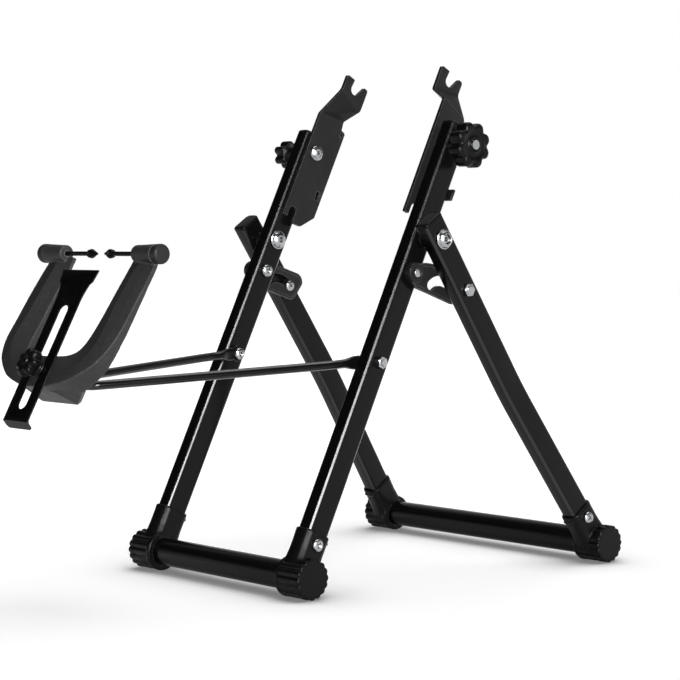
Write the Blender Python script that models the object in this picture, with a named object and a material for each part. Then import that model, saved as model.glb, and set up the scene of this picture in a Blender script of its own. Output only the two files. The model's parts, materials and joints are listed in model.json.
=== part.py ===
"""A folding wheel truing stand: two front legs and two wider rear legs hinged into an A-frame,
round crossbars in moulded tee feet, cranked dropout plates with star knobs, and a bent gauge bar
that carries a yoke with two screw feelers and a sliding radial gauge plate.
Metres. +X is the stand's right, +Y its rear, +Z up. The origin is on the ground at the middle."""

import math

import bmesh
import bpy
from mathutils import Matrix, Vector

MM = 0.001

# Frame: the pivot, how far each pair of legs leans from vertical, and the tubes
PIVOT_HEIGHT = 315.3 * MM
FRONT_LEAN = math.radians(26.16)
REAR_LEAN = math.radians(34.45)
FOLD_TRAVEL = math.radians(55.0)
PLATE_LEG_GAP = 6.2 * MM
TUBE_WIDTH = 16.0 * MM
TUBE_DEPTH = 25.0 * MM
TUBE_WALL = 1.5 * MM
TUBE_CORNER = 2.6 * MM
LEG_GAP = 11.4 * MM
FRONT_TOP = 119.0 * MM
REAR_TOP = 22.8 * MM
SPLAY_ANGLE = math.radians(4.58)
SPLAY_START = 174.6 * MM
SPLAY_BEND_RADIUS = 480.0 * MM
CAP_THICKNESS = 3.0 * MM
CAP_PLUG = 9.0 * MM

# Crossbars and feet
CROSSBAR_RADIUS = 13.0 * MM
CROSSBAR_WALL = 1.6 * MM
CROSSBAR_INSERT = 17.0 * MM
FOOT_RADIUS = 18.5 * MM
FOOT_LENGTH = 32.6 * MM
FOOT_OFFSET = 5.0 * MM
FOOT_COLLAR = 4.5 * MM
FOOT_RIBS = 16
FOOT_RIB_DEPTH = 1.5 * MM
FOOT_END_ROUND = 2.5 * MM
SLEEVE_WALL = 2.4 * MM
SLEEVE_HEIGHT = 41.8 * MM
SLEEVE_SCREW_HEIGHT = 31.0 * MM
LEG_END_HEIGHT = 15.8 * MM
FOOT_SCREW_HEAD = 5.8 * MM
FOOT_SCREW_SHANK = 2.4 * MM

# Running and seating clearances
SEAT = 0.3 * MM
BORE = 0.35 * MM

# Fasteners
PIVOT_BOLT_RADIUS = 4.0 * MM
PIVOT_HEAD_RADIUS = 9.3 * MM
PIVOT_HEAD_HEIGHT = 5.2 * MM
PIVOT_SPACER_RADIUS = 8.0 * MM
SMALL_BOLT_RADIUS = 3.0 * MM
LOCK_HEAD_RADIUS = 6.4 * MM
LOCK_HEAD_HEIGHT = 4.0 * MM
LOCK_RIVET_RADIUS = 4.2 * MM
LOCK_RIVET_HEIGHT = 1.7 * MM
GAUGE_HEAD_RADIUS = 5.8 * MM
GAUGE_HEAD_HEIGHT = 4.4 * MM
GAUGE_NUT_HEIGHT = 5.6 * MM
GAUGE_BOLT_TAIL = 1.6 * MM
STAY_HEAD_RADIUS = 5.9 * MM
STAY_HEAD_HEIGHT = 4.0 * MM
STAY_FLANGE_RADIUS = 6.2 * MM
STAY_FLANGE_THICKNESS = 2.6 * MM

# Slotted stays between the front and rear legs
LOCK_BOLT_DROP = 34.0 * MM
STAY_BOLT_DROP = 56.5 * MM
STAY_THICKNESS = 3.0 * MM
STAY_INBOARD_GAP = 3.5 * MM
STAY_BOSS_RADIUS = 9.5 * MM
STAY_BOSS_TOP = 8.4 * MM
STAY_RATIO = 1.30
STAY_SLOT_HALF = 4.6 * MM
STAY_UPPER = 15.5 * MM
STAY_LOWER = 13.0 * MM
STAY_END_MARGIN = 15.4 * MM

# Dropout plates, in the front leg's frame: n rearward, s up the leg from the pivot
PLATE_THICKNESS = 3.5 * MM
HUB_SPACING = 130.0 * MM
CRANK_OFFSET = 19.8 * MM
CRANK_STEEP_LOW = 143.0 * MM
CRANK_STEEP_HIGH = 153.8 * MM
CRANK_GENTLE_LOW = 137.2 * MM
CRANK_GENTLE_HIGH = 163.2 * MM
PLATE_BOTTOM = 20.3 * MM
PLATE_FRONT_EDGE = 12.6 * MM
PLATE_REAR_EDGE = 26.5 * MM
PLATE_SHOULDER = 133.6 * MM
NECK_REAR_EDGE = 19.4 * MM
FORK_FRONT_EDGE = 11.6 * MM
FORK_TOP = 179.5 * MM
SLOT_CENTRE_N = 3.7 * MM
SLOT_CENTRE_S = 170.3 * MM
SLOT_RADIUS = 5.5 * MM
NOTCH_CENTRE_N = 2.5 * MM
NOTCH_TOP = 35.5 * MM
NOTCH_RADIUS = 4.5 * MM
KNOB_SCREW_S = 97.0 * MM
KNOB_SCREW_RADIUS = 4.6 * MM
KNOB_SCREW_HEAD_RADIUS = 8.0 * MM
KNOB_SCREW_HEAD_HEIGHT = 4.6 * MM
WINDOW_S = 59.2 * MM
WINDOW_N = 18.2 * MM
WINDOW_HEIGHT = 9.5 * MM
WINDOW_WIDTH = 5.6 * MM
LUG_LENGTH = 7.0 * MM
LUG_THICKNESS = 1.4 * MM
TAB_S = 53.2 * MM
TAB_HEIGHT = 11.0 * MM
TAB_LENGTH = 25.2 * MM
TAB_THICKNESS = 2.8 * MM
TAB_LEG_GAP = 1.2 * MM
SMALL_HOLE_RADIUS = 1.9 * MM
KNOB_RADIUS = 22.0 * MM
KNOB_LOBES = 8
KNOB_LOBE_DEPTH = 1.9 * MM
KNOB_NECK_RADIUS = 11.0 * MM
SMALL_KNOB_RADIUS = 14.3 * MM
SMALL_KNOB_LOBES = 6
SMALL_KNOB_LOBE_DEPTH = 2.1 * MM
SMALL_KNOB_NECK_RADIUS = 9.0 * MM
KNOB_NECK_LENGTH = 10.4 * MM
KNOB_STAR_LENGTH = 15.0 * MM
KNOB_SCREW_STAND = 1.4 * MM

# Gauge bar
GAUGE_BOLT_DROP = 124.0 * MM
BAR_RADIUS = 4.0 * MM
BAR_REACH = 260.4 * MM
BAR_DROOP = math.radians(2.8)
BAR_EYE_RADIUS = 8.0 * MM
BAR_EYE_THICKNESS = 4.2 * MM
BAR_SIDE_INSET = 6.0 * MM
BAR_KINK = 36.0 * MM
BAR_CROSS_HALF = 25.0 * MM
BAR_BEND_RADIUS = 9.0 * MM

# Yoke, in its own frame about the cross portion of the bar: p forward, q up
YOKE_TILT = math.radians(28.3)
FEELER_P = 22.9 * MM
FEELER_Q = 114.0 * MM
YOKE_SEAT_P = 33.7 * MM
YOKE_INNER_HALF = 43.0 * MM
YOKE_OUTER_HALF = 80.6 * MM
YOKE_MOUTH_BOTTOM = 10.6 * MM
YOKE_BASE_DROP = 18.2 * MM
YOKE_BLOCK_HALF = 26.5 * MM
YOKE_BLOCK_BOTTOM = 18.6 * MM
YOKE_LUG_HALF = 16.0 * MM
YOKE_LUG_DEPTH = 8.0 * MM
YOKE_RELIEF_RADIUS = 9.2 * MM
BOSS_START = 52.0 * MM
BOSS_END = 79.3 * MM
BOSS_INNER_RADIUS = 7.6 * MM
BOSS_OUTER_RADIUS = 8.4 * MM
FEELER_RADIUS = 2.0 * MM
FEELER_HEAD_RADIUS = 4.2 * MM
FEELER_HEAD_LENGTH = 15.0 * MM
FEELER_TIP_GAP = 9.0 * MM
FEELER_KNOB_LENGTH = 8.6 * MM
FEELER_KNOB_RADIUS = 8.6 * MM

# Radial gauge plate and its clamp
GAUGE_PLATE_THICKNESS = 1.0 * MM
GAUGE_PLATE_HALF = 18.4 * MM
GAUGE_PLATE_TOP_HALF = 26.6 * MM
GAUGE_PLATE_TOP_Q = 92.0 * MM
GAUGE_PLATE_FLARE = 29.0 * MM
GAUGE_PLATE_BOTTOM_Q = -50.6 * MM
GAUGE_SLOT_HALF = 5.7 * MM
GAUGE_SLOT_TOP_Q = 58.0 * MM
GAUGE_SLOT_BOTTOM_Q = -39.8 * MM
GAUGE_LIP_LENGTH = 8.0 * MM
GAUGE_LIP_ANGLE = math.radians(65.0)
CLAMP_Q = -1.5 * MM
CLAMP_SCREW_RADIUS = 3.0 * MM
CLAMP_SCREW_DEPTH = 14.0 * MM
CLAMP_WASHER_RADIUS = 9.0 * MM
CLAMP_WASHER_THICKNESS = 1.6 * MM
CLAMP_KNOB_RADIUS = 13.2 * MM
CLAMP_KNOB_LOBES = 7
CLAMP_KNOB_LOBE_DEPTH = 1.3 * MM
CLAMP_KNOB_NECK_RADIUS = 8.0 * MM
CLAMP_KNOB_NECK_LENGTH = 3.2 * MM
CLAMP_KNOB_STAR_LENGTH = 9.6 * MM

# Sizes that follow from the ones above
FRONT_OUTER_FACE = HUB_SPACING / 2 + PLATE_THICKNESS + CRANK_OFFSET + PLATE_LEG_GAP + TUBE_WIDTH
FRONT_INNER_FACE = FRONT_OUTER_FACE - TUBE_WIDTH
REAR_INNER_FACE = FRONT_OUTER_FACE + LEG_GAP
REAR_OUTER_FACE = REAR_INNER_FACE + TUBE_WIDTH
FRONT_LENGTH = (PIVOT_HEIGHT - FOOT_RADIUS) / math.cos(FRONT_LEAN)
REAR_SPLAY_LENGTH = ((PIVOT_HEIGHT - FOOT_RADIUS) / math.cos(REAR_LEAN) - SPLAY_START) / math.cos(SPLAY_ANGLE)
REAR_FOOT_Y = math.sin(REAR_LEAN) * (SPLAY_START + REAR_SPLAY_LENGTH * math.cos(SPLAY_ANGLE))
FORK_MID = (HUB_SPACING + PLATE_THICKNESS) / 2
MAIN_MID = FORK_MID + CRANK_OFFSET
MAIN_OUTER = MAIN_MID + PLATE_THICKNESS / 2
MAIN_INNER = MAIN_MID - PLATE_THICKNESS / 2
STAY_INNER_FACE = FRONT_OUTER_FACE + STAY_INBOARD_GAP
STAY_OUTER_FACE = STAY_INNER_FACE + STAY_THICKNESS
BAR_SIDE = FRONT_INNER_FACE - BAR_SIDE_INSET
GAUGE_PLATE_BACK = YOKE_SEAT_P + SEAT
GAUGE_PLATE_FRONT = GAUGE_PLATE_BACK + GAUGE_PLATE_THICKNESS
FEELER_KNOB_START = BOSS_END + SEAT
FEELER_KNOB_END = FEELER_KNOB_START + FEELER_KNOB_LENGTH

# The pivot stands where the ground origin falls midway between the rear feet and the gauge plate's foot
GAUGE_PIVOT_Y = -math.sin(FRONT_LEAN) * GAUGE_BOLT_DROP
GAUGE_PIVOT_Z = PIVOT_HEIGHT - math.cos(FRONT_LEAN) * GAUGE_BOLT_DROP
YOKE_Y = GAUGE_PIVOT_Y - math.cos(BAR_DROOP) * BAR_REACH
YOKE_Z = GAUGE_PIVOT_Z - math.sin(BAR_DROOP) * BAR_REACH
GAUGE_LIP_DIP = GAUGE_PLATE_THICKNESS * 0.35
FRONT_REACH = (YOKE_Y - math.cos(YOKE_TILT) * GAUGE_PLATE_FRONT
               + math.sin(YOKE_TILT) * (GAUGE_PLATE_BOTTOM_Q - GAUGE_LIP_DIP))
REAR_REACH = REAR_FOOT_Y + FOOT_RADIUS
PIVOT_Y = -(FRONT_REACH + REAR_REACH) / 2


for old in list(bpy.data.objects):
    bpy.data.objects.remove(old, do_unlink=True)
for old in list(bpy.data.meshes):
    bpy.data.meshes.remove(old)


def material(name, colour, roughness, metallic=0.0):
    mat = bpy.data.materials.new(name)
    mat.use_nodes = True
    shader = mat.node_tree.nodes["Principled BSDF"]
    shader.inputs["Base Color"].default_value = (*colour, 1.0)
    shader.inputs["Roughness"].default_value = roughness
    shader.inputs["Metallic"].default_value = metallic
    return mat


PAINT = material("black_paint", (0.012, 0.012, 0.013), 0.38)
PLASTIC = material("black_plastic", (0.022, 0.022, 0.023), 0.55)
ZINC = material("zinc", (0.72, 0.72, 0.70), 0.28, 1.0)
SHEET = material("black_sheet", (0.014, 0.014, 0.015), 0.42)


def empty(name, parent=None, place=None):
    obj = bpy.data.objects.new(name, None)
    bpy.context.scene.collection.objects.link(obj)
    obj.parent = parent
    obj.matrix_local = place if place is not None else Matrix.Identity(4)
    return obj


def finish(name, bm, parent, mat, sharp=32.0, cutter=False, place=None):
    """Turns a bmesh into a named object under its parent, with outward faces."""
    bmesh.ops.recalc_face_normals(bm, faces=bm.faces)
    mesh = bpy.data.meshes.new(name)
    bm.to_mesh(mesh)
    bm.free()
    mesh.shade_smooth()
    mesh.set_sharp_from_angle(angle=math.radians(sharp))
    obj = bpy.data.objects.new(name, mesh)
    bpy.context.scene.collection.objects.link(obj)
    obj.parent = parent
    if place is not None:
        obj.matrix_local = place
    if cutter:
        obj.hide_render = True
        obj.display_type = "WIRE"
    else:
        mesh.materials.append(mat)
    return obj


def combine(obj, other, operation):
    """Adds a Boolean that keeps the other object as a wire helper."""
    mod = obj.modifiers.new(operation.lower() + "_" + other.name, "BOOLEAN")
    mod.operation = operation
    mod.solver = "EXACT"
    mod.object = other
    return obj


def rings_to_bmesh(rings, close_ends=True, wrap=False):
    """Joins rings of points, all of one length, into a tube; flat ends are filled."""
    bm = bmesh.new()
    made = [[bm.verts.new(p) for p in ring] for ring in rings]
    count = len(made[0])
    spans = list(zip(made, made[1:])) + ([(made[-1], made[0])] if wrap else [])
    for low, high in spans:
        for i in range(count):
            j = (i + 1) % count
            bm.faces.new((low[i], low[j], high[j], high[i]))
    if close_ends and not wrap:
        bm.faces.new(made[0])
        bm.faces.new(list(reversed(made[-1])))
    return bm


def turned(profile, axis="X", steps=24, at=(0.0, 0.0, 0.0), phase=0.0):
    """A turned solid: profile is (radius, distance along the axis), open at the axis or a closed ring."""
    bm = bmesh.new()
    rows = []
    for radius, along in profile:
        if radius < 1e-7:
            rows.append([bm.verts.new(spot(axis, 0.0, 0.0, along, at))])
            continue
        rows.append([
            bm.verts.new(spot(axis, radius * math.cos(phase + math.tau * i / steps),
                              radius * math.sin(phase + math.tau * i / steps), along, at))
            for i in range(steps)])
    ring = len(rows[0]) > 1 and len(rows[-1]) > 1
    pairs = list(zip(rows, rows[1:])) + ([(rows[-1], rows[0])] if ring else [])
    for low, high in pairs:
        for i in range(steps):
            j = (i + 1) % steps
            corners = [low[i % len(low)], low[j % len(low)], high[j % len(high)], high[i % len(high)]]
            corners = list(dict.fromkeys(corners))
            if len(corners) > 2:
                bm.faces.new(corners)
    return bm


def spot(axis, u, v, along, at):
    """A point at u, v across the named axis and along it, from a start point."""
    if axis == "X":
        p = (along, u, v)
    elif axis == "Y":
        p = (v, along, u)
    else:
        p = (u, v, along)
    return (p[0] + at[0], p[1] + at[1], p[2] + at[2])


def flat_with_holes(loops):
    """Fills an outline, given first, with its holes left open, in the YZ plane."""
    bm = bmesh.new()
    edges = []
    for loop in loops:
        verts = [bm.verts.new((0.0, y, z)) for y, z in loop]
        for a, b in zip(verts, verts[1:] + verts[:1]):
            edges.append(bm.edges.new((a, b)))
    bmesh.ops.triangle_fill(bm, use_beauty=True, use_dissolve=False, edges=edges, normal=(1.0, 0.0, 0.0))
    return bm


def thicken(bm, low, high):
    """Gives a flat YZ sheet its thickness from x = low to x = high."""
    for vert in bm.verts:
        vert.co.x = low
    made = bmesh.ops.extrude_face_region(bm, geom=list(bm.faces))
    for item in made["geom"]:
        if isinstance(item, bmesh.types.BMVert):
            item.co.x = high
    return bm


def arc(centre, radius, start, end, steps):
    """Points on an arc in degrees, both ends included."""
    return [(centre[0] + radius * math.cos(math.radians(start + (end - start) * i / steps)),
             centre[1] + radius * math.sin(math.radians(start + (end - start) * i / steps)))
            for i in range(steps + 1)]


def circle(centre, radius, steps=20):
    return [(centre[0] + radius * math.cos(math.tau * i / steps),
             centre[1] + radius * math.sin(math.tau * i / steps)) for i in range(steps)]


def rounded_rectangle(width, depth, radius, per_corner=3):
    """Outline of a rounded rectangle about the origin."""
    points = []
    for sx, sy, start in ((1, 1, 0), (-1, 1, 90), (-1, -1, 180), (1, -1, 270)):
        centre = (sx * (width / 2 - radius), sy * (depth / 2 - radius))
        points += arc(centre, radius, start, start + 90, per_corner)
    return points


def hollow_tube(path, width, depth, wall, corner):
    """A rectangular tube along a path in the XZ plane, open at both ends.
    path holds (x, z, angle), the angle being the section's turn about Y."""
    outer = rounded_rectangle(width, depth, corner)
    inner = rounded_rectangle(width - 2 * wall, depth - 2 * wall, corner - wall * 0.8)
    rings = []
    for outline in (outer, inner):
        rows = []
        for x, z, angle in path:
            rows.append([(x + px * math.cos(angle), py, z - px * math.sin(angle)) for px, py in outline])
        rings.append(rows)
    bm = rings_to_bmesh(rings[0] + list(reversed(rings[1])), wrap=True)
    return bm


def round_tube(radius, wall, half, steps=28):
    """A straight round tube along X, open at both ends."""
    return turned([(radius, -half), (radius, half), (radius - wall, half), (radius - wall, -half)], "X", steps)


def drill(name, radius, low, high, parent, y=0.0, z=0.0, steps=16):
    """A hidden cylinder along X that cuts a hole."""
    bm = turned([(0, low), (radius, low), (radius, high), (0, high)], "X", steps, (0, y, z))
    return finish(name, bm, parent, None, cutter=True)


def hexagon(radius, axis_points):
    """A six-sided bar along X through the listed (radius share, x) points."""
    return turned([(radius * share, x) for share, x in axis_points], "X", 6, phase=math.radians(30))


# Frames: each empty stands on its joint's axis, with its Z up the piece it carries
stand = empty("stand", None, Matrix.Translation((0, PIVOT_Y, PIVOT_HEIGHT)))
front = empty("front_frame", stand, Matrix.Rotation(-FRONT_LEAN, 4, "X"))
rear = empty("rear_frame", stand, Matrix.Rotation(REAR_LEAN, 4, "X"))
ground = empty("ground_line", None, Matrix.Translation((0, PIVOT_Y, 0)))
SIDES = (("left", -1), ("right", 1))


def tube_hole_set(leg, name, parent, sign, drops):
    """Cuts bolt holes through both walls of a leg tube."""
    for index, (radius, z) in enumerate(drops):
        low, high = sorted((sign * 60 * MM, sign * 160 * MM))
        hole = drill(f"{name}_hole_{index}", radius, low, high, parent, 0.0, z)
        combine(leg, hole, "DIFFERENCE")


def leg_cap(name, parent, centre_x, top):
    """A moulded plug: a domed plate over the tube's end with a shank inside it."""
    plug_w = TUBE_WIDTH - 2 * TUBE_WALL - 2 * SEAT
    plug_d = TUBE_DEPTH - 2 * TUBE_WALL - 2 * SEAT
    rows = [
        (plug_w, plug_d, 1.2 * MM, top - CAP_THICKNESS - CAP_PLUG),
        (plug_w, plug_d, 1.2 * MM, top - CAP_THICKNESS),
        (TUBE_WIDTH, TUBE_DEPTH, TUBE_CORNER, top - CAP_THICKNESS),
        (TUBE_WIDTH, TUBE_DEPTH, TUBE_CORNER, top - CAP_THICKNESS * 0.45),
        (TUBE_WIDTH - 2.4 * MM, TUBE_DEPTH - 2.4 * MM, TUBE_CORNER, top),
    ]
    rings = [[(centre_x + x, y, z) for x, y in rounded_rectangle(w, d, r, 3)] for w, d, r, z in rows]
    return finish(name, rings_to_bmesh(rings), parent, PLASTIC)


def ribbed_barrel(inner_x, sign):
    """A horizontal barrel along X: a plain collar at its inner end, then ribs to the closed outer end."""
    steps = FOOT_RIBS * 2
    outer_x = inner_x + FOOT_LENGTH
    valley = FOOT_RADIUS - FOOT_RIB_DEPTH

    def ring(x, ribbed, shrink=0.0):
        points = []
        for i in range(steps):
            angle = math.tau * i / steps - math.pi / 2
            wave = abs(math.cos(FOOT_RIBS * (angle + math.pi / 2) / 2))
            radius = (valley + FOOT_RIB_DEPTH * wave if ribbed else FOOT_RADIUS) - shrink
            points.append((sign * x, radius * math.cos(angle), radius * math.sin(angle)))
        return points

    rings = [
        ring(inner_x, False, 1.0 * MM),
        ring(inner_x + 1.0 * MM, False),
        ring(inner_x + FOOT_COLLAR, False),
        ring(inner_x + FOOT_COLLAR + 0.8 * MM, True),
        ring(outer_x - FOOT_END_ROUND, True),
        ring(outer_x - FOOT_END_ROUND * 0.3, False, FOOT_RIB_DEPTH + 0.6 * MM),
        ring(outer_x, False, FOOT_RIB_DEPTH + FOOT_END_ROUND),
    ]
    return rings_to_bmesh(rings)


def tee_foot(name, sign, parent, leg_frame, leg_end_z, leg_x, inner_x, bar_x):
    """A moulded tee: a barrel on the ground, a socket for the leg and a bore for the crossbar.
    leg_frame is the empty whose Z runs up the leg, leg_end_z the barrel axis's Z in it."""
    foot = finish(name, ribbed_barrel(inner_x, sign), parent, PLASTIC, sharp=40)
    w = TUBE_WIDTH + 2 * (SEAT + SLEEVE_WALL)
    d = TUBE_DEPTH + 2 * (SEAT + SLEEVE_WALL)
    top = leg_end_z + SLEEVE_HEIGHT
    rows = [(0.0, leg_end_z - 4 * MM), (0.0, top - 1.0 * MM), (1.4 * MM, top)]
    rings = [[(leg_x + x, y, z) for x, y in rounded_rectangle(w - cut, d - cut, TUBE_CORNER + 1.6 * MM)]
             for cut, z in rows]
    sleeve = finish(name + "_sleeve", rings_to_bmesh(rings), leg_frame, None, cutter=True)
    combine(foot, sleeve, "UNION")
    socket = rounded_rectangle(TUBE_WIDTH + 2 * SEAT, TUBE_DEPTH + 2 * SEAT, TUBE_CORNER)
    rings = [[(leg_x + x, y, z) for x, y in socket]
             for z in (leg_end_z + LEG_END_HEIGHT - SEAT, top + 5 * MM)]
    cut = finish(name + "_socket", rings_to_bmesh(rings), leg_frame, None, cutter=True)
    combine(foot, cut, "DIFFERENCE")
    low, high = sorted((sign * (inner_x - 3 * MM), sign * (bar_x + SEAT)))
    bore = drill(name + "_bar_bore", CROSSBAR_RADIUS + SEAT, low, high, parent, steps=28)
    combine(foot, bore, "DIFFERENCE")
    screw_z = leg_end_z + SLEEVE_SCREW_HEIGHT
    low, high = sorted((leg_x, leg_x + sign * 30 * MM))
    hole = drill(name + "_screw_hole", FOOT_SCREW_SHANK + BORE, low, high, leg_frame, 0.0, screw_z, 14)
    combine(foot, hole, "DIFFERENCE")
    return screw_z


def pan_screw(name, parent, sign, face, length, z, y=0.0):
    """A cross-recessed pan head on an outboard face, its shank running inward."""
    s = sign
    profile = [
        (0, s * (face - length)), (FOOT_SCREW_SHANK, s * (face - length)),
        (FOOT_SCREW_SHANK, s * (face + SEAT)), (FOOT_SCREW_HEAD, s * (face + SEAT)),
        (FOOT_SCREW_HEAD, s * (face + SEAT + 1.2 * MM)), (FOOT_SCREW_HEAD * 0.8, s * (face + SEAT + 2.3 * MM)),
        (FOOT_SCREW_HEAD * 0.32, s * (face + SEAT + 2.9 * MM)), (FOOT_SCREW_HEAD * 0.22, s * (face + SEAT + 1.3 * MM)),
        (0, s * (face + SEAT + 1.3 * MM)),
    ]
    return finish(name, turned(profile, "X", 14, (0, y, z)), parent, ZINC)


# Front frame
front_foot_inner = FRONT_OUTER_FACE - TUBE_WIDTH / 2 + FOOT_OFFSET - FOOT_LENGTH / 2
front_bar_half = front_foot_inner + CROSSBAR_INSERT
front_axle = empty("front_foot_axis", ground, Matrix.Translation((0, -math.sin(FRONT_LEAN) * FRONT_LENGTH, FOOT_RADIUS)))
for side, sign in SIDES:
    centre = sign * (FRONT_OUTER_FACE - TUBE_WIDTH / 2)
    low_z = -FRONT_LENGTH + LEG_END_HEIGHT
    high_z = FRONT_TOP - CAP_THICKNESS - SEAT
    leg = finish(f"front_leg_{side}",
                 hollow_tube([(centre, low_z, 0), (centre, high_z, 0)], TUBE_WIDTH, TUBE_DEPTH, TUBE_WALL, TUBE_CORNER),
                 front, PAINT)
    tube_hole_set(leg, f"front_leg_{side}", front, sign, (
        (KNOB_SCREW_RADIUS + BORE, KNOB_SCREW_S),
        (PIVOT_BOLT_RADIUS + BORE, 0.0),
        (SMALL_BOLT_RADIUS + BORE, -LOCK_BOLT_DROP),
        (SMALL_BOLT_RADIUS + BORE, -GAUGE_BOLT_DROP)))
    leg_cap(f"front_leg_cap_{side}", front, centre, FRONT_TOP)
    screw_z = tee_foot(f"foot_front_{side}", sign, front_axle, front, -FRONT_LENGTH, centre,
                       front_foot_inner, front_bar_half)
    hole = drill(f"front_leg_{side}_foot_hole", FOOT_SCREW_SHANK + BORE,
                 *sorted((centre, sign * (FRONT_OUTER_FACE + 5 * MM))), front, 0.0, screw_z, 14)
    combine(leg, hole, "DIFFERENCE")
    pan_screw(f"foot_screw_front_{side}", front, sign, FRONT_OUTER_FACE + SEAT + SLEEVE_WALL, 6.5 * MM, screw_z)
finish("front_crossbar", round_tube(CROSSBAR_RADIUS, CROSSBAR_WALL, front_bar_half), front_axle, PAINT)


def splay_path(top, foot_end):
    """(x shift, z, angle) down a rear leg: straight, a gentle bend, then straight and splayed outward."""
    tangent = SPLAY_BEND_RADIUS * math.tan(SPLAY_ANGLE / 2)
    points = [(0.0, top, 0.0)]
    steps = 5
    for i in range(steps + 1):
        turn = SPLAY_ANGLE * i / steps
        points.append((SPLAY_BEND_RADIUS * (1 - math.cos(turn)),
                       -SPLAY_START + tangent - SPLAY_BEND_RADIUS * math.sin(turn), turn))
    points.append((math.sin(SPLAY_ANGLE) * foot_end, -SPLAY_START - math.cos(SPLAY_ANGLE) * foot_end, SPLAY_ANGLE))
    return points


# Rear frame, wider than the front one and splayed below the bend
rear_foot_shift = math.sin(SPLAY_ANGLE) * REAR_SPLAY_LENGTH
rear_foot_inner = REAR_OUTER_FACE - TUBE_WIDTH / 2 + rear_foot_shift + FOOT_OFFSET - FOOT_LENGTH / 2
rear_bar_half = rear_foot_inner + CROSSBAR_INSERT
rear_axle = empty("rear_foot_axis", rear, Matrix.Rotation(-REAR_LEAN, 4, "X") @ Matrix.Translation(
    (0, REAR_FOOT_Y, FOOT_RADIUS - PIVOT_HEIGHT)))
for side, sign in SIDES:
    centre = sign * (REAR_INNER_FACE + TUBE_WIDTH / 2)
    path = [(centre + sign * x, z, -sign * a)
            for x, z, a in splay_path(REAR_TOP - CAP_THICKNESS - SEAT, REAR_SPLAY_LENGTH - LEG_END_HEIGHT)]
    leg = finish(f"rear_leg_{side}", hollow_tube(path, TUBE_WIDTH, TUBE_DEPTH, TUBE_WALL, TUBE_CORNER), rear, PAINT)
    tube_hole_set(leg, f"rear_leg_{side}", rear, sign, (
        (PIVOT_BOLT_RADIUS + BORE, 0.0), (SMALL_BOLT_RADIUS + BORE, -STAY_BOLT_DROP)))
    leg_cap(f"rear_leg_cap_{side}", rear, centre, REAR_TOP)
    splayed = empty(f"rear_splay_{side}", rear, Matrix.Translation((centre, 0, -SPLAY_START))
                    @ Matrix.Rotation(-sign * SPLAY_ANGLE, 4, "Y"))
    screw_z = tee_foot(f"foot_rear_{side}", sign, rear_axle, splayed, -REAR_SPLAY_LENGTH, 0.0,
                       rear_foot_inner, rear_bar_half)
    hole = drill(f"rear_leg_{side}_foot_hole", FOOT_SCREW_SHANK + BORE,
                 *sorted((0.0, sign * (TUBE_WIDTH / 2 + 5 * MM))), splayed, 0.0, screw_z, 14)
    combine(leg, hole, "DIFFERENCE")
    pan_screw(f"foot_screw_rear_{side}", splayed, sign, TUBE_WIDTH / 2 + SEAT + SLEEVE_WALL, 6.5 * MM, screw_z)
finish("rear_crossbar", round_tube(CROSSBAR_RADIUS, CROSSBAR_WALL, rear_bar_half), rear_axle, PAINT)

# Pivot bolts with their domed sleeve nuts and the spacers that part the legs
for side, sign in SIDES:
    s = sign
    head = FRONT_INNER_FACE - SEAT
    end = REAR_OUTER_FACE + SEAT + PIVOT_HEAD_HEIGHT * 0.6
    bolt = [
        (0, s * (head - PIVOT_HEAD_HEIGHT)), (PIVOT_HEAD_RADIUS * 0.72, s * (head - PIVOT_HEAD_HEIGHT)),
        (PIVOT_HEAD_RADIUS, s * (head - PIVOT_HEAD_HEIGHT * 0.45)), (PIVOT_HEAD_RADIUS, s * head),
        (PIVOT_BOLT_RADIUS, s * head), (PIVOT_BOLT_RADIUS, s * end), (0, s * end)]
    obj = finish(f"pivot_bolt_{side}", turned(bolt, "X", 24), front, ZINC)
    recess = finish(f"pivot_bolt_{side}_socket",
                    hexagon(3.2 * MM, ((0, s * (head - PIVOT_HEAD_HEIGHT - 1 * MM)),
                                       (1, s * (head - PIVOT_HEAD_HEIGHT - 1 * MM)),
                                       (1, s * (head - PIVOT_HEAD_HEIGHT + 2.8 * MM)),
                                       (0, s * (head - PIVOT_HEAD_HEIGHT + 2.8 * MM)))), front, None, cutter=True)
    combine(obj, recess, "DIFFERENCE")
    face = REAR_OUTER_FACE + SEAT
    bore = PIVOT_BOLT_RADIUS + BORE
    nut = [
        (bore, s * face), (PIVOT_HEAD_RADIUS, s * face), (PIVOT_HEAD_RADIUS, s * (face + PIVOT_HEAD_HEIGHT * 0.55)),
        (PIVOT_HEAD_RADIUS * 0.74, s * (face + PIVOT_HEAD_HEIGHT)), (bore, s * (face + PIVOT_HEAD_HEIGHT))]
    finish(f"pivot_nut_{side}", turned(nut, "X", 24), front, ZINC)
    spacer = [(bore, s * (FRONT_OUTER_FACE + SEAT)), (PIVOT_SPACER_RADIUS, s * (FRONT_OUTER_FACE + SEAT)),
              (PIVOT_SPACER_RADIUS, s * (REAR_INNER_FACE - SEAT)), (bore, s * (REAR_INNER_FACE - SEAT))]
    finish(f"pivot_spacer_{side}", turned(spacer, "X", 20), front, PLASTIC)

# Slotted stays: each turns on the front leg's bolt while the rear leg's bolt runs along its slot
OPEN_ANGLE = FRONT_LEAN + REAR_LEAN


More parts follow.
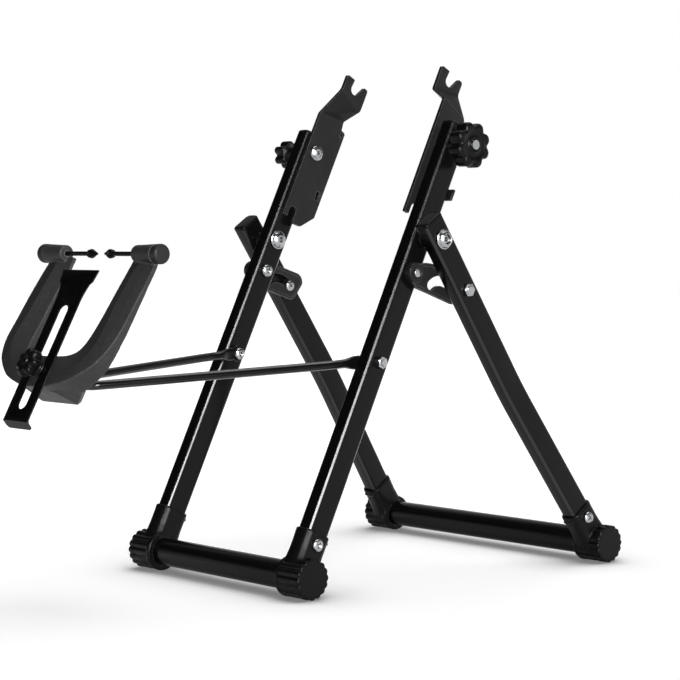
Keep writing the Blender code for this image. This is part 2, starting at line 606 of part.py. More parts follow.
def stay_bolt_in_stay(travel):
    """Where the rear leg's bolt lies in the stay's own plane once the stand has folded by travel.
    The first number runs along the stay, the second up across it."""
    spread = OPEN_ANGLE - travel
    down = STAY_BOLT_DROP * math.cos(spread) - LOCK_BOLT_DROP
    out = STAY_BOLT_DROP * math.sin(spread)
    start_down = STAY_BOLT_DROP * math.cos(OPEN_ANGLE) - LOCK_BOLT_DROP
    start_out = STAY_BOLT_DROP * math.sin(OPEN_ANGLE)
    turn = math.atan2(out, down) - (math.atan2(start_out, start_down) - STAY_RATIO * travel)
    length = math.hypot(down, out)
    return length * math.cos(turn), length * math.sin(turn)


def slot_outline(path, half):
    """The outline swept by a round pin of radius half along a path."""
    normals = []
    for i, point in enumerate(path):
        a, b = path[max(i - 1, 0)], path[min(i + 1, len(path) - 1)]
        length = math.hypot(b[0] - a[0], b[1] - a[1])
        normals.append((-(b[1] - a[1]) / length, (b[0] - a[0]) / length))
    left = [(p[0] + half * n[0], p[1] + half * n[1]) for p, n in zip(path, normals)]
    right = [(p[0] - half * n[0], p[1] - half * n[1]) for p, n in zip(path, normals)]
    end_turn = math.degrees(math.atan2(-normals[-1][0], normals[-1][1])) + 90
    end = arc(path[-1], half, end_turn, end_turn - 180, 6)[1:-1]
    start_turn = math.degrees(math.atan2(-normals[0][0], normals[0][1])) - 90
    begin = arc(path[0], half, start_turn, start_turn - 180, 6)[1:-1]
    return left + end + list(reversed(right)) + begin


stay_path = [stay_bolt_in_stay(FOLD_TRAVEL * (1 - i / 14)) for i in range(15)]
stay_reach = stay_path[-1][0]
stay_end = stay_reach + STAY_END_MARGIN
stay_angle = -math.atan2(STAY_BOLT_DROP * math.cos(REAR_LEAN) - LOCK_BOLT_DROP * math.cos(FRONT_LEAN),
                         STAY_BOLT_DROP * math.sin(REAR_LEAN) + LOCK_BOLT_DROP * math.sin(FRONT_LEAN))
lock_spot = (-math.sin(FRONT_LEAN) * LOCK_BOLT_DROP, -math.cos(FRONT_LEAN) * LOCK_BOLT_DROP)
stay_outline = (
    arc((0, 0), STAY_BOSS_RADIUS, 150, 236, 5)
    + [(STAY_BOSS_RADIUS * 0.62, -STAY_LOWER)]
    + arc((stay_end - 12 * MM, -STAY_LOWER + 9 * MM), 9 * MM, 270, 330, 3)
    + arc((stay_end - 9 * MM, STAY_UPPER - 10 * MM), 10 * MM, 10, 90, 4)
    + [(STAY_BOSS_RADIUS * 1.9, STAY_UPPER - 0.8 * MM), (STAY_BOSS_RADIUS * 1.1, STAY_UPPER - 2.4 * MM)])
for side, sign in SIDES:
    s = sign
    turn = empty(f"stay_axis_{side}", stand, Matrix.Translation((0, *lock_spot)) @ Matrix.Rotation(stay_angle, 4, "X"))
    low, high = sorted((s * STAY_INNER_FACE, s * STAY_OUTER_FACE))
    plate = thicken(flat_with_holes([stay_outline, slot_outline(stay_path, STAY_SLOT_HALF)]), low, high)
    stay = finish(f"stay_{side}", plate, turn, SHEET)
    inner = FRONT_OUTER_FACE + SEAT
    boss = [(0, s * inner), (STAY_BOSS_RADIUS, s * inner), (STAY_BOSS_RADIUS, s * (inner + STAY_BOSS_TOP - 1 * MM)),
            (STAY_BOSS_RADIUS - 1 * MM, s * (inner + STAY_BOSS_TOP)), (0, s * (inner + STAY_BOSS_TOP))]
    combine(stay, finish(f"stay_{side}_boss", turned(boss, "X", 24), turn, None, cutter=True), "UNION")
    low, high = sorted((s * (inner - 2 * MM), s * (inner + STAY_BOSS_TOP + 3 * MM)))
    combine(stay, drill(f"stay_{side}_hole", SMALL_BOLT_RADIUS + BORE, low, high, turn), "DIFFERENCE")
    head = FRONT_INNER_FACE - SEAT
    rivet = inner + STAY_BOSS_TOP + SEAT
    lock = [
        (0, s * (head - LOCK_HEAD_HEIGHT)), (LOCK_HEAD_RADIUS * 0.7, s * (head - LOCK_HEAD_HEIGHT)),
        (LOCK_HEAD_RADIUS, s * (head - LOCK_HEAD_HEIGHT * 0.5)), (LOCK_HEAD_RADIUS, s * head),
        (SMALL_BOLT_RADIUS, s * head), (SMALL_BOLT_RADIUS, s * rivet), (LOCK_RIVET_RADIUS, s * rivet),
        (LOCK_RIVET_RADIUS * 0.8, s * (rivet + LOCK_RIVET_HEIGHT)), (0, s * (rivet + LOCK_RIVET_HEIGHT))]
    finish(f"lock_bolt_{side}", turned(lock, "X", 16, (0, 0, -LOCK_BOLT_DROP)), front, ZINC)
    face = REAR_OUTER_FACE + SEAT
    flange = STAY_INNER_FACE - SEAT
    bolt = [
        (0, s * (flange - STAY_FLANGE_THICKNESS)), (STAY_FLANGE_RADIUS, s * (flange - STAY_FLANGE_THICKNESS)),
        (STAY_FLANGE_RADIUS, s * flange), (SMALL_BOLT_RADIUS, s * flange), (SMALL_BOLT_RADIUS, s * face),
        (STAY_HEAD_RADIUS, s * face), (STAY_HEAD_RADIUS, s * (face + STAY_HEAD_HEIGHT * 0.7)),
        (STAY_HEAD_RADIUS * 0.8, s * (face + STAY_HEAD_HEIGHT)), (0, s * (face + STAY_HEAD_HEIGHT))]
    finish(f"stay_bolt_{side}", turned(bolt, "X", 18, (0, 0, -STAY_BOLT_DROP)), rear, ZINC)
    sleeve_low, sleeve_high = STAY_OUTER_FACE + SEAT, REAR_INNER_FACE - SEAT
    sleeve = [(SMALL_BOLT_RADIUS + BORE, s * sleeve_low), (STAY_FLANGE_RADIUS, s * sleeve_low),
              (STAY_FLANGE_RADIUS, s * sleeve_high), (SMALL_BOLT_RADIUS + BORE, s * sleeve_high)]
    finish(f"stay_spacer_{side}", turned(sleeve, "X", 18, (0, 0, -STAY_BOLT_DROP)), rear, PLASTIC)

# Bolts and nuts that carry the gauge bar
for side, sign in SIDES:
    s = sign
    eye_inner = FRONT_INNER_FACE - SEAT - BAR_EYE_THICKNESS
    head = eye_inner - SEAT
    tail = FRONT_OUTER_FACE + SEAT + GAUGE_NUT_HEIGHT + GAUGE_BOLT_TAIL
    bolt = [
        (0, s * (head - GAUGE_HEAD_HEIGHT)), (GAUGE_HEAD_RADIUS * 0.75, s * (head - GAUGE_HEAD_HEIGHT)),
        (GAUGE_HEAD_RADIUS, s * (head - GAUGE_HEAD_HEIGHT * 0.6)), (GAUGE_HEAD_RADIUS, s * head),
        (SMALL_BOLT_RADIUS, s * head), (SMALL_BOLT_RADIUS, s * tail), (0, s * tail)]
    finish(f"gauge_bolt_{side}", turned(bolt, "X", 18, (0, 0, -GAUGE_BOLT_DROP)), front, ZINC)
    face = FRONT_OUTER_FACE + SEAT
    bore = SMALL_BOLT_RADIUS + BORE
    nut = [(bore, s * face), (GAUGE_HEAD_RADIUS, s * face), (GAUGE_HEAD_RADIUS, s * (face + GAUGE_NUT_HEIGHT * 0.75)),
           (GAUGE_HEAD_RADIUS * 0.84, s * (face + GAUGE_NUT_HEIGHT)), (bore, s * (face + GAUGE_NUT_HEIGHT))]
    finish(f"gauge_nut_{side}", turned(nut, "X", 18, (0, 0, -GAUGE_BOLT_DROP)), front, ZINC)


# Dropout plates: one sheet with a cranked fork, guided by a tab behind the leg
def crank_folds(sign):
    """The lower fold, the upper fold and the crease between them, each by its two ends (n, s).

    Both plates come from one die, so the crank is steep at the right plate's front edge and at the
    left plate's rear edge.
    """
    steep, gentle = (CRANK_STEEP_LOW, CRANK_STEEP_HIGH), (CRANK_GENTLE_LOW, CRANK_GENTLE_HIGH)
    front, rear = (steep, gentle) if sign > 0 else (gentle, steep)
    front_low, front_high = (-PLATE_FRONT_EDGE, front[0]), (-FORK_FRONT_EDGE, front[1])
    rear_low, rear_high = (NECK_REAR_EDGE, rear[0]), (NECK_REAR_EDGE, rear[1])
    crease = (front_high, rear_low) if sign > 0 else (rear_high, front_low)
    return (front_low, rear_low), (front_high, rear_high), crease


def over_line(line, point):
    """How far up the leg a point lies above the line through two others."""
    (n0, s0), (n1, s1) = line
    return point[1] - s0 - (s1 - s0) * (point[0] - n0) / (n1 - n0)


def crank_shift(sign, n, s):
    """How far inboard of the main plate the sheet lies at a point: two flat facets between the folds."""
    low, high, (steep_end, gentle_end) = crank_folds(sign)
    lower_facet = over_line(low, (n, s)) / over_line(low, steep_end)
    upper_facet = 1 - over_line(high, (n, s)) / over_line(high, gentle_end)
    return CRANK_OFFSET * min(max(min(lower_facet, upper_facet), 0.0), 1.0)


def dropout_outline(sign):
    slot = (SLOT_CENTRE_N, SLOT_CENTRE_S)
    notch = (-NOTCH_CENTRE_N, NOTCH_TOP - NOTCH_RADIUS)
    (front_low, rear_low), (front_high, rear_high), _ = crank_folds(sign)
    points = [(-PLATE_FRONT_EDGE, PLATE_BOTTOM + 3.2 * MM), front_low, front_high]
    points += arc((-FORK_FRONT_EDGE + 2.0 * MM, FORK_TOP - 2.0 * MM), 2.0 * MM, 180, 90, 3)
    points += [(SLOT_CENTRE_N - SLOT_RADIUS + 0.9 * MM, FORK_TOP - 0.4 * MM)]
    points += arc(slot, SLOT_RADIUS, 180, 330, 10)
    points += [(SLOT_CENTRE_N + SLOT_RADIUS + 4.7 * MM, FORK_TOP - 1.4 * MM),
               (NECK_REAR_EDGE - 0.8 * MM, FORK_TOP - 1.8 * MM),
               (NECK_REAR_EDGE, FORK_TOP - 4.0 * MM), rear_high, rear_low,
               (NECK_REAR_EDGE + 1.4 * MM, PLATE_SHOULDER + 0.3 * MM)]
    points += arc((PLATE_REAR_EDGE - 2.6 * MM, PLATE_SHOULDER - 2.6 * MM), 2.6 * MM, 80, 0, 4)
    points += [(PLATE_REAR_EDGE, PLATE_BOTTOM + 17.0 * MM), (13.7 * MM, PLATE_BOTTOM + 1.2 * MM),
               (4.5 * MM, PLATE_BOTTOM), (-NOTCH_CENTRE_N + NOTCH_RADIUS, PLATE_BOTTOM + 0.6 * MM)]
    points += arc(notch, NOTCH_RADIUS, 0, 180, 8)
    points += [(-NOTCH_CENTRE_N - NOTCH_RADIUS, PLATE_BOTTOM + 3.2 * MM)]
    return points


def bend_lines(bm, folds):
    """Cuts the flat sheet along the crank's folds."""
    for (n0, s0), (n1, s1) in folds:
        normal = Vector((0.0, s0 - s1, n1 - n0)).normalized()
        bmesh.ops.bisect_plane(bm, geom=list(bm.verts) + list(bm.edges) + list(bm.faces),
                               plane_co=(0.0, n0, s0), plane_no=normal, dist=1e-7)


tab_low_n = TUBE_DEPTH / 2 + TAB_LEG_GAP
for side, sign in SIDES:
    s = sign
    carrier = empty(f"dropout_slide_{side}", front, Matrix.Translation((s * MAIN_OUTER, 0, KNOB_SCREW_S)))
    window = [(WINDOW_N, WINDOW_S - WINDOW_HEIGHT / 2), (WINDOW_N + WINDOW_WIDTH, WINDOW_S - WINDOW_HEIGHT / 2),
              (WINDOW_N + WINDOW_WIDTH, WINDOW_S + WINDOW_HEIGHT / 2), (WINDOW_N, WINDOW_S + WINDOW_HEIGHT / 2)]
    small = circle((PLATE_REAR_EDGE - 4.2 * MM, PLATE_SHOULDER - 4.4 * MM), SMALL_HOLE_RADIUS, 12)
    bore = circle((0, KNOB_SCREW_S), KNOB_SCREW_RADIUS + BORE, 20)
    sheet = flat_with_holes([dropout_outline(s), bore, window, small])
    bend_lines(sheet, crank_folds(s))
    thicken(sheet, -PLATE_THICKNESS / 2, PLATE_THICKNESS / 2)
    for vert in sheet.verts:
        shift = crank_shift(s, vert.co.y, vert.co.z)
        vert.co.x = s * (MAIN_MID - shift) + vert.co.x - s * MAIN_OUTER
        vert.co.z -= KNOB_SCREW_S
    plate = finish(f"dropout_plate_{side}", sheet, carrier, SHEET, sharp=25)
    lug_n = WINDOW_N + WINDOW_WIDTH
    for label, near, far, length, middle, height in (
            ("tab", tab_low_n, tab_low_n + TAB_THICKNESS, TAB_LENGTH, TAB_S, TAB_HEIGHT),
            ("lug", lug_n - LUG_THICKNESS, lug_n + 0.4 * MM, LUG_LENGTH, WINDOW_S, WINDOW_HEIGHT - 1.0 * MM)):
        low, high = sorted((-s * PLATE_THICKNESS * 0.7, s * length))
        section = [(low, near), (high, near), (high, far), (low, far)]
        rings = [[(x, y, z - KNOB_SCREW_S) for x, y in section] for z in (middle - height / 2, middle + height / 2)]
        combine(plate, finish(f"dropout_{label}_{side}", rings_to_bmesh(rings), carrier, None, cutter=True), "UNION")


def lobed_knob(name, parent, mat, sign, start, neck_radius, neck, star, radius, lobes, depth, bore, axis="X", at=(0, 0, 0)):
    """A moulded star knob: a round neck, then lobes with rounded rims, bored for its screw."""
    steps = lobes * 4

    def ring(along, scale, round_part=False):
        points = []
        for i in range(steps):
            angle = math.tau * i / steps
            wave = math.cos(lobes * angle)
            r = neck_radius if round_part else radius - depth + depth * wave - scale
            points.append(spot(axis, r * math.cos(angle), r * math.sin(angle), sign * along, at))
        return points

    rings = [
        ring(start, 0, True), ring(start + neck, 0, True),
        ring(start + neck, 1.8 * MM), ring(start + neck + 1.6 * MM, 0),
        ring(start + neck + star - 2.2 * MM, 0), ring(start + neck + star - 0.6 * MM, 1.0 * MM),
        ring(start + neck + star, 2.6 * MM)]
    knob = finish(name, rings_to_bmesh(rings), parent, mat, sharp=38)
    low, high = sorted((sign * (start - 3 * MM), sign * (start + neck + star + 3 * MM)))
    hole = finish(name + "_bore", turned([(0, low), (bore, low), (bore, high), (0, high)], axis, 20, at),
                  parent, None, cutter=True)
    combine(knob, hole, "DIFFERENCE")
    return knob


knob_shapes = {"right": (KNOB_NECK_RADIUS, KNOB_RADIUS, KNOB_LOBES, KNOB_LOBE_DEPTH),
               "left": (SMALL_KNOB_NECK_RADIUS, SMALL_KNOB_RADIUS, SMALL_KNOB_LOBES, SMALL_KNOB_LOBE_DEPTH)}
for side, sign in SIDES:
    s = sign
    turn = empty(f"dropout_knob_axis_{side}", front, Matrix.Translation((0, 0, KNOB_SCREW_S)))
    start = FRONT_OUTER_FACE + SEAT
    neck, radius, lobes, depth = knob_shapes[side]
    lobed_knob(f"dropout_knob_{side}", turn, PLASTIC, s, start, neck, KNOB_NECK_LENGTH,
               KNOB_STAR_LENGTH, radius, lobes, depth, KNOB_SCREW_RADIUS + BORE)
    head = MAIN_INNER - SEAT
    tip = start + KNOB_NECK_LENGTH + KNOB_STAR_LENGTH + KNOB_SCREW_STAND
    screw = [
        (0, s * (head - KNOB_SCREW_HEAD_HEIGHT)),
        (KNOB_SCREW_HEAD_RADIUS * 0.7, s * (head - KNOB_SCREW_HEAD_HEIGHT)),
        (KNOB_SCREW_HEAD_RADIUS, s * (head - KNOB_SCREW_HEAD_HEIGHT * 0.5)), (KNOB_SCREW_HEAD_RADIUS, s * head),
        (KNOB_SCREW_RADIUS, s * head), (KNOB_SCREW_RADIUS, s * (tip - KNOB_SCREW_RADIUS * 0.2)),
        (KNOB_SCREW_RADIUS * 0.8, s * tip), (0, s * tip)]
    screw = [(radius, x - s * MAIN_OUTER) for radius, x in screw]
    finish(f"dropout_screw_{side}", turned(screw, "X", 20), bpy.data.objects[f"dropout_slide_{side}"], ZINC)

# Gauge bar: one bent rod with flattened eyes, hinged on the front legs
bar = empty("gauge_bar_axis", front, Matrix.Translation((0, 0, -GAUGE_BOLT_DROP))
            @ Matrix.Rotation(FRONT_LEAN + BAR_DROOP, 4, "X"))
lean_in = math.atan2(BAR_SIDE - BAR_CROSS_HALF - BAR_BEND_RADIUS, BAR_REACH - BAR_KINK - BAR_BEND_RADIUS)
for _ in range(20):
    bend_x = BAR_CROSS_HALF + BAR_BEND_RADIUS * math.cos(lean_in)
    bend_y = BAR_BEND_RADIUS * (1 - math.sin(lean_in))
    lean_in = math.atan2(BAR_SIDE - bend_x, BAR_REACH - BAR_KINK - bend_y)


def bar_half_path():
    """Centre line of the bar's right half from the middle of its cross portion to its eye."""
    points = [(0.0, -BAR_REACH), (BAR_CROSS_HALF * 0.5, -BAR_REACH), (BAR_CROSS_HALF, -BAR_REACH)]
    steps = 5
    for i in range(1, steps + 1):
        turn = (math.pi / 2 - lean_in) * i / steps
        points.append((BAR_CROSS_HALF + BAR_BEND_RADIUS * math.sin(turn),
                       -BAR_REACH + BAR_BEND_RADIUS * (1 - math.cos(turn))))
    ease = 7 * MM
    for i in range(5):
        t = i / 4
        a = (BAR_SIDE - math.sin(lean_in) * ease, -BAR_KINK - math.cos(lean_in) * ease)
        b = (BAR_SIDE, -BAR_KINK)
        c = (BAR_SIDE, -BAR_KINK + ease)
        points.append(((1 - t) ** 2 * a[0] + 2 * t * (1 - t) * b[0] + t * t * c[0],
                       (1 - t) ** 2 * a[1] + 2 * t * (1 - t) * b[1] + t * t * c[1]))
    points.append((BAR_SIDE, -BAR_EYE_RADIUS * 0.95))
    return points


half_path = bar_half_path()
bar_path = [(-x, y) for x, y in reversed(half_path[1:])] + half_path
rings = []
for i, (x, y) in enumerate(bar_path):
    a, b = bar_path[max(i - 1, 0)], bar_path[min(i + 1, len(bar_path) - 1)]
    way = Vector((b[0] - a[0], b[1] - a[1], 0)).normalized()
    across = Vector((way.y, -way.x, 0))
    rings.append([Vector((x, y, 0)) + BAR_RADIUS * (math.cos(math.tau * k / 12) * across
                                                    + math.sin(math.tau * k / 12) * Vector((0, 0, 1)))
                  for k in range(12)])
gauge_bar = finish("gauge_bar", rings_to_bmesh(rings), bar, PAINT)
for side, sign in SIDES:
    s = sign
    outer = FRONT_INNER_FACE - SEAT
    inner = outer - BAR_EYE_THICKNESS
    eye = [(0, s * inner), (BAR_EYE_RADIUS - 0.6 * MM, s * inner), (BAR_EYE_RADIUS, s * (inner + 0.6 * MM)),
           (BAR_EYE_RADIUS, s * outer), (0, s * outer)]
    combine(gauge_bar, finish(f"gauge_bar_eye_{side}", turned(eye, "X", 24), bar, None, cutter=True), "UNION")
    neck = [(s * inner, -BAR_EYE_RADIUS - 9 * MM, -3.2 * MM), (s * outer, -BAR_EYE_RADIUS - 2 * MM, -4.6 * MM),
            (s * outer, -BAR_EYE_RADIUS - 2 * MM, 4.6 * MM), (s * inner, -BAR_EYE_RADIUS - 9 * MM, 3.2 * MM)]
    tail = [(s * inner, -3.5 * MM, -6.6 * MM), (s * outer, -3.5 * MM, -6.6 * MM),
            (s * outer, -3.5 * MM, 6.6 * MM), (s * inner, -3.5 * MM, 6.6 * MM)]
    combine(gauge_bar, finish(f"gauge_bar_web_{side}", rings_to_bmesh([neck, tail]), bar, None, cutter=True), "UNION")
    low, high = sorted((s * (inner - 9 * MM), s * (outer + 3 * MM)))
    combine(gauge_bar, drill(f"gauge_bar_hole_{side}", SMALL_BOLT_RADIUS + BORE, low, high, bar), "DIFFERENCE")

# Yoke: a plastic U that tilts on the bar's cross portion
yoke_axis = empty("yoke_axis", bar, Matrix.Translation((0, -BAR_REACH, 0))
                  @ Matrix.Rotation(-YOKE_TILT - BAR_DROOP, 4, "X"))


def yoke_stations():
    """Right half of the U from its arm's top to the middle of its base.
    Each is (inner x, q), (ridge x, q), (outer x, q), ridge p, edge p, rear p."""
    inner, outer = YOKE_INNER_HALF, YOKE_OUTER_HALF
    seat, bottom, drop = YOKE_SEAT_P, YOKE_MOUTH_BOTTOM, YOKE_BASE_DROP
    mid = inner + (outer - inner) * 0.47
    top = FEELER_Q
    rows = [
        ((inner + 2.0 * MM, top - 1.5 * MM), (mid + 0.5 * MM, top - 1.5 * MM), (outer - 4.0 * MM, top - 1.5 * MM),
         seat - 12.4 * MM, seat - 13.2 * MM, seat - 18.2 * MM),
        ((inner + 0.8 * MM, top - 12 * MM), (mid, top - 12 * MM), (outer - 1.4 * MM, top - 12 * MM),
         seat - 11.2 * MM, seat - 12.6 * MM, seat - 17.2 * MM),
        ((inner + 0.4 * MM, top - 28 * MM), (mid - 0.6 * MM, top - 28 * MM), (outer - 0.4 * MM, top - 28 * MM),
         seat - 9.4 * MM, seat - 10.9 * MM, seat - 16.0 * MM),
        ((inner, top - 49 * MM), (mid - 0.4 * MM, top - 49 * MM), (outer, top - 49 * MM),
         seat - 7.2 * MM, seat - 8.8 * MM, seat - 15.4 * MM),
        ((inner - 0.8 * MM, bottom + 35 * MM), (mid + 1.0 * MM, bottom + 34 * MM), (outer, bottom + 34 * MM),
         seat - 5.4 * MM, seat - 7.0 * MM, seat - 14.8 * MM),
        ((inner - 1.8 * MM, bottom + 20 * MM), (mid + 2.0 * MM, bottom + 19 * MM), (outer - 1.0 * MM, bottom + 19 * MM),
         seat - 3.6 * MM, seat - 5.0 * MM, seat - 14.4 * MM),
        ((inner - 4.0 * MM, bottom + 11 * MM), (mid + 0.4 * MM, bottom + 10 * MM), (outer - 4.2 * MM, bottom + 8 * MM),
         seat - 2.4 * MM, seat - 3.8 * MM, seat - 15.4 * MM),
        ((inner - 8.0 * MM, bottom + 5.6 * MM), (mid - 4.4 * MM, bottom + 1.6 * MM), (outer - 11.0 * MM, bottom - 3.4 * MM),
         seat - 1.4 * MM, seat - 2.6 * MM, seat - 17.4 * MM),
        ((inner - 15.0 * MM, bottom + 2.2 * MM), (mid - 13.4 * MM, bottom - 7.6 * MM), (outer - 23.6 * MM, bottom - 13.8 * MM),
         seat - 0.5 * MM, seat - 1.2 * MM, seat - 20.0 * MM),
        ((inner - 24.0 * MM, bottom + 0.6 * MM), (mid - 26.0 * MM, bottom - 15.6 * MM), (outer - 38.0 * MM, bottom - 21.8 * MM),
         seat, seat - 0.4 * MM, seat - 22.0 * MM),
        ((inner - 34.0 * MM, bottom + 0.1 * MM), (mid - 44.0 * MM, bottom - 23.4 * MM), (outer - 59.0 * MM, -drop + 1.6 * MM),
         seat, seat - 0.2 * MM, seat - 24.0 * MM),
    ]
    middle = ((0.0, bottom), (0.0, -drop + 3.6 * MM), (0.0, -drop), seat, seat - 0.2 * MM, seat - 25.0 * MM)
    return rows, middle


def yoke_ring(station, sign):
    """Six points round the section at a station; local Y runs rearward, so p is -Y."""
    (ix, iq), (rx, rq), (ox, oq), ridge_p, edge_p, rear_p = station
    inner_edge = ridge_p if ridge_p >= YOKE_SEAT_P - 1e-9 else edge_p
    return [(sign * ix, -inner_edge, iq), (sign * rx, -ridge_p, rq), (sign * ox, -edge_p, oq),
            (sign * ox, -rear_p, oq), (sign * rx, -rear_p + 0.4 * MM, rq), (sign * ix, -rear_p, iq)]


stations, middle = yoke_stations()
rings = [yoke_ring(st, 1) for st in stations] + [yoke_ring(middle, 1)] + [yoke_ring(st, -1) for st in reversed(stations)]
yoke = finish("yoke", rings_to_bmesh(rings), yoke_axis, PLASTIC, sharp=28)

block = bmesh.new()
hull_points = []
for sx in (-1, 1):
    hull_points += [(sx * 61 * MM, -24 * MM, 9.2 * MM), (sx * 56 * MM, -24 * MM, -2.0 * MM),
                    (sx * 41 * MM, -24 * MM, -11.4 * MM), (sx * 20 * MM, -24 * MM, -17.8 * MM),
                    (sx * 30 * MM, -24 * MM, YOKE_MOUTH_BOTTOM - 0.6 * MM),
                    (sx * YOKE_BLOCK_HALF, -1 * MM, YOKE_MOUTH_BOTTOM - 1.4 * MM),
                    (sx * YOKE_BLOCK_HALF, -1 * MM, -YOKE_BLOCK_BOTTOM),
                    (sx * YOKE_LUG_HALF, YOKE_LUG_DEPTH, 7.5 * MM), (sx * YOKE_LUG_HALF, YOKE_LUG_DEPTH, -12.5 * MM)]
for point in hull_points:
    block.verts.new(point)
made = bmesh.ops.convex_hull(block, input=list(block.verts))
loose = list({item for item in made["geom_interior"] + made["geom_unused"] if isinstance(item, bmesh.types.BMVert)})
bmesh.ops.delete(block, geom=loose, context="VERTS")
combine(yoke, finish("yoke_block", block, yoke_axis, None, cutter=True), "UNION")
for side, sign in SIDES:
    s = sign
    boss = [(0, s * BOSS_START), (BOSS_INNER_RADIUS - 0.8 * MM, s * BOSS_START),
            (BOSS_INNER_RADIUS, s * (BOSS_START + 0.8 * MM)), (BOSS_OUTER_RADIUS, s * BOSS_END), (0, s * BOSS_END)]
    combine(yoke, finish(f"yoke_boss_{side}", turned(boss, "X", 28, (0, -FEELER_P, FEELER_Q)), yoke_axis, None,
                         cutter=True), "UNION")
for side, sign in SIDES:
    s = sign
    low, high = sorted((s * (BOSS_START - 6 * MM), s * (BOSS_END + 4 * MM)))
    combine(yoke, drill(f"yoke_feeler_bore_{side}", FEELER_RADIUS + BORE, low, high, yoke_axis, -FEELER_P, FEELER_Q, 16),
            "DIFFERENCE")
    low, high = sorted((s * YOKE_BLOCK_HALF, s * (YOKE_BLOCK_HALF + 40 * MM)))
    combine(yoke, drill(f"yoke_relief_{side}", YOKE_RELIEF_RADIUS, low, high, yoke_axis, 0, 0, 24), "DIFFERENCE")
combine(yoke, drill("yoke_bar_bore", BAR_RADIUS + BORE, -60 * MM, 60 * MM, yoke_axis, 0, 0, 24), "DIFFERENCE")
clamp_low = -(YOKE_SEAT_P + 2 * MM)
clamp_high = -(YOKE_SEAT_P - CLAMP_SCREW_DEPTH - SEAT)
clamp_radius = CLAMP_SCREW_RADIUS + BORE
clamp_bore = turned([(0, clamp_low), (clamp_radius, clamp_low), (clamp_radius, clamp_high), (0, clamp_high)],
                    "Y", 18, (0, 0, CLAMP_Q))
combine(yoke, finish("yoke_clamp_bore", clamp_bore, yoke_axis, None, cutter=True), "DIFFERENCE")

# Feelers: each slides through its boss as its knob turns
for side, sign in SIDES:
    s = sign
    slide = empty(f"feeler_slide_{side}", yoke_axis, Matrix.Translation((0, -FEELER_P, FEELER_Q)))
    tip = FEELER_TIP_GAP / 2
    head = FEELER_HEAD_RADIUS
    profile = [
        (0, s * tip), (head * 0.72, s * (tip + FEELER_HEAD_LENGTH * 0.42)), (head, s * (tip + FEELER_HEAD_LENGTH * 0.6)),
        (head * 0.95, s * (tip + FEELER_HEAD_LENGTH * 0.72)), (FEELER_RADIUS, s * (tip + FEELER_HEAD_LENGTH)),
        (FEELER_RADIUS, s * (FEELER_KNOB_END - 4 * MM)), (0, s * (FEELER_KNOB_END - 4 * MM))]
    finish(f"feeler_{side}", turned(profile, "X", 16), slide, SHEET)
    bore = FEELER_RADIUS + BORE
    knob = [
        (bore, s * FEELER_KNOB_START), (FEELER_KNOB_RADIUS - 0.5 * MM, s * FEELER_KNOB_START),
        (FEELER_KNOB_RADIUS - 0.1 * MM, s * (FEELER_KNOB_START + 0.5 * MM)),
        (FEELER_KNOB_RADIUS, s * (FEELER_KNOB_END - 1.4 * MM)),
        (FEELER_KNOB_RADIUS - 1.2 * MM, s * (FEELER_KNOB_END - 0.2 * MM)), (0, s * FEELER_KNOB_END),
        (0, s * (FEELER_KNOB_END - 4 * MM + SEAT)), (bore, s * (FEELER_KNOB_END - 4 * MM + SEAT))]
    finish(f"feeler_knob_{side}", turned(knob, "X", 24), slide, PLASTIC)


# Radial gauge plate, clamped on the yoke's seat
def gauge_plate_outline():
    top, bottom = GAUGE_PLATE_TOP_Q, GAUGE_PLATE_BOTTOM_Q
    half, wide = GAUGE_PLATE_HALF, GAUGE_PLATE_TOP_HALF
    right = [(half, bottom), (half, top - GAUGE_PLATE_FLARE)]
    for i in range(1, 7):
        t = i / 6
        right.append((half + (wide - 5.2 * MM - half) * t ** 1.7, top - GAUGE_PLATE_FLARE + (GAUGE_PLATE_FLARE - 14.0 * MM) * t))
    right += [(wide - 2.2 * MM, top - 11.2 * MM), (wide, top - 0.6 * MM), (wide - 0.8 * MM, top)]
    return right + [(-x, q) for x, q in reversed(right)]


plate_slide = empty("gauge_plate_slide", yoke_axis, Matrix.Translation((0, -GAUGE_PLATE_BACK, CLAMP_Q)))
slot = (arc((0, GAUGE_SLOT_TOP_Q - GAUGE_SLOT_HALF), GAUGE_SLOT_HALF, 0, 180, 8)
        + arc((0, GAUGE_SLOT_BOTTOM_Q + GAUGE_SLOT_HALF), GAUGE_SLOT_HALF, 180, 360, 8))
sheet = thicken(flat_with_holes([[(x, q - CLAMP_Q) for x, q in loop] for loop in (gauge_plate_outline(), slot)]),
                0.0, GAUGE_PLATE_THICKNESS)
turn_flat = Matrix(((0, 1, 0, 0), (-1, 0, 0, 0), (0, 0, 1, 0), (0, 0, 0, 1)))
bmesh.ops.transform(sheet, matrix=turn_flat, verts=sheet.verts)
plate = finish("gauge_plate", sheet, plate_slide, SHEET, sharp=25)
back = (math.sin(GAUGE_LIP_ANGLE), -math.cos(GAUGE_LIP_ANGLE))
lip_z = GAUGE_PLATE_BOTTOM_Q - CLAMP_Q
t = GAUGE_PLATE_THICKNESS
section = [(-t, lip_z + 0.8 * MM), (0.0, lip_z + 0.8 * MM), (0.0, lip_z),
           (back[0] * GAUGE_LIP_LENGTH, lip_z + back[1] * GAUGE_LIP_LENGTH),
           (back[0] * GAUGE_LIP_LENGTH + back[1] * t, lip_z + back[1] * GAUGE_LIP_LENGTH - back[0] * t),
           (back[1] * t * 0.6, lip_z - back[0] * t), (-t, lip_z - GAUGE_LIP_DIP)]
rings = [[(x, y, z) for y, z in section] for x in (-GAUGE_PLATE_HALF, GAUGE_PLATE_HALF)]
combine(plate, finish("gauge_plate_lip", rings_to_bmesh(rings), plate_slide, None, cutter=True), "UNION")

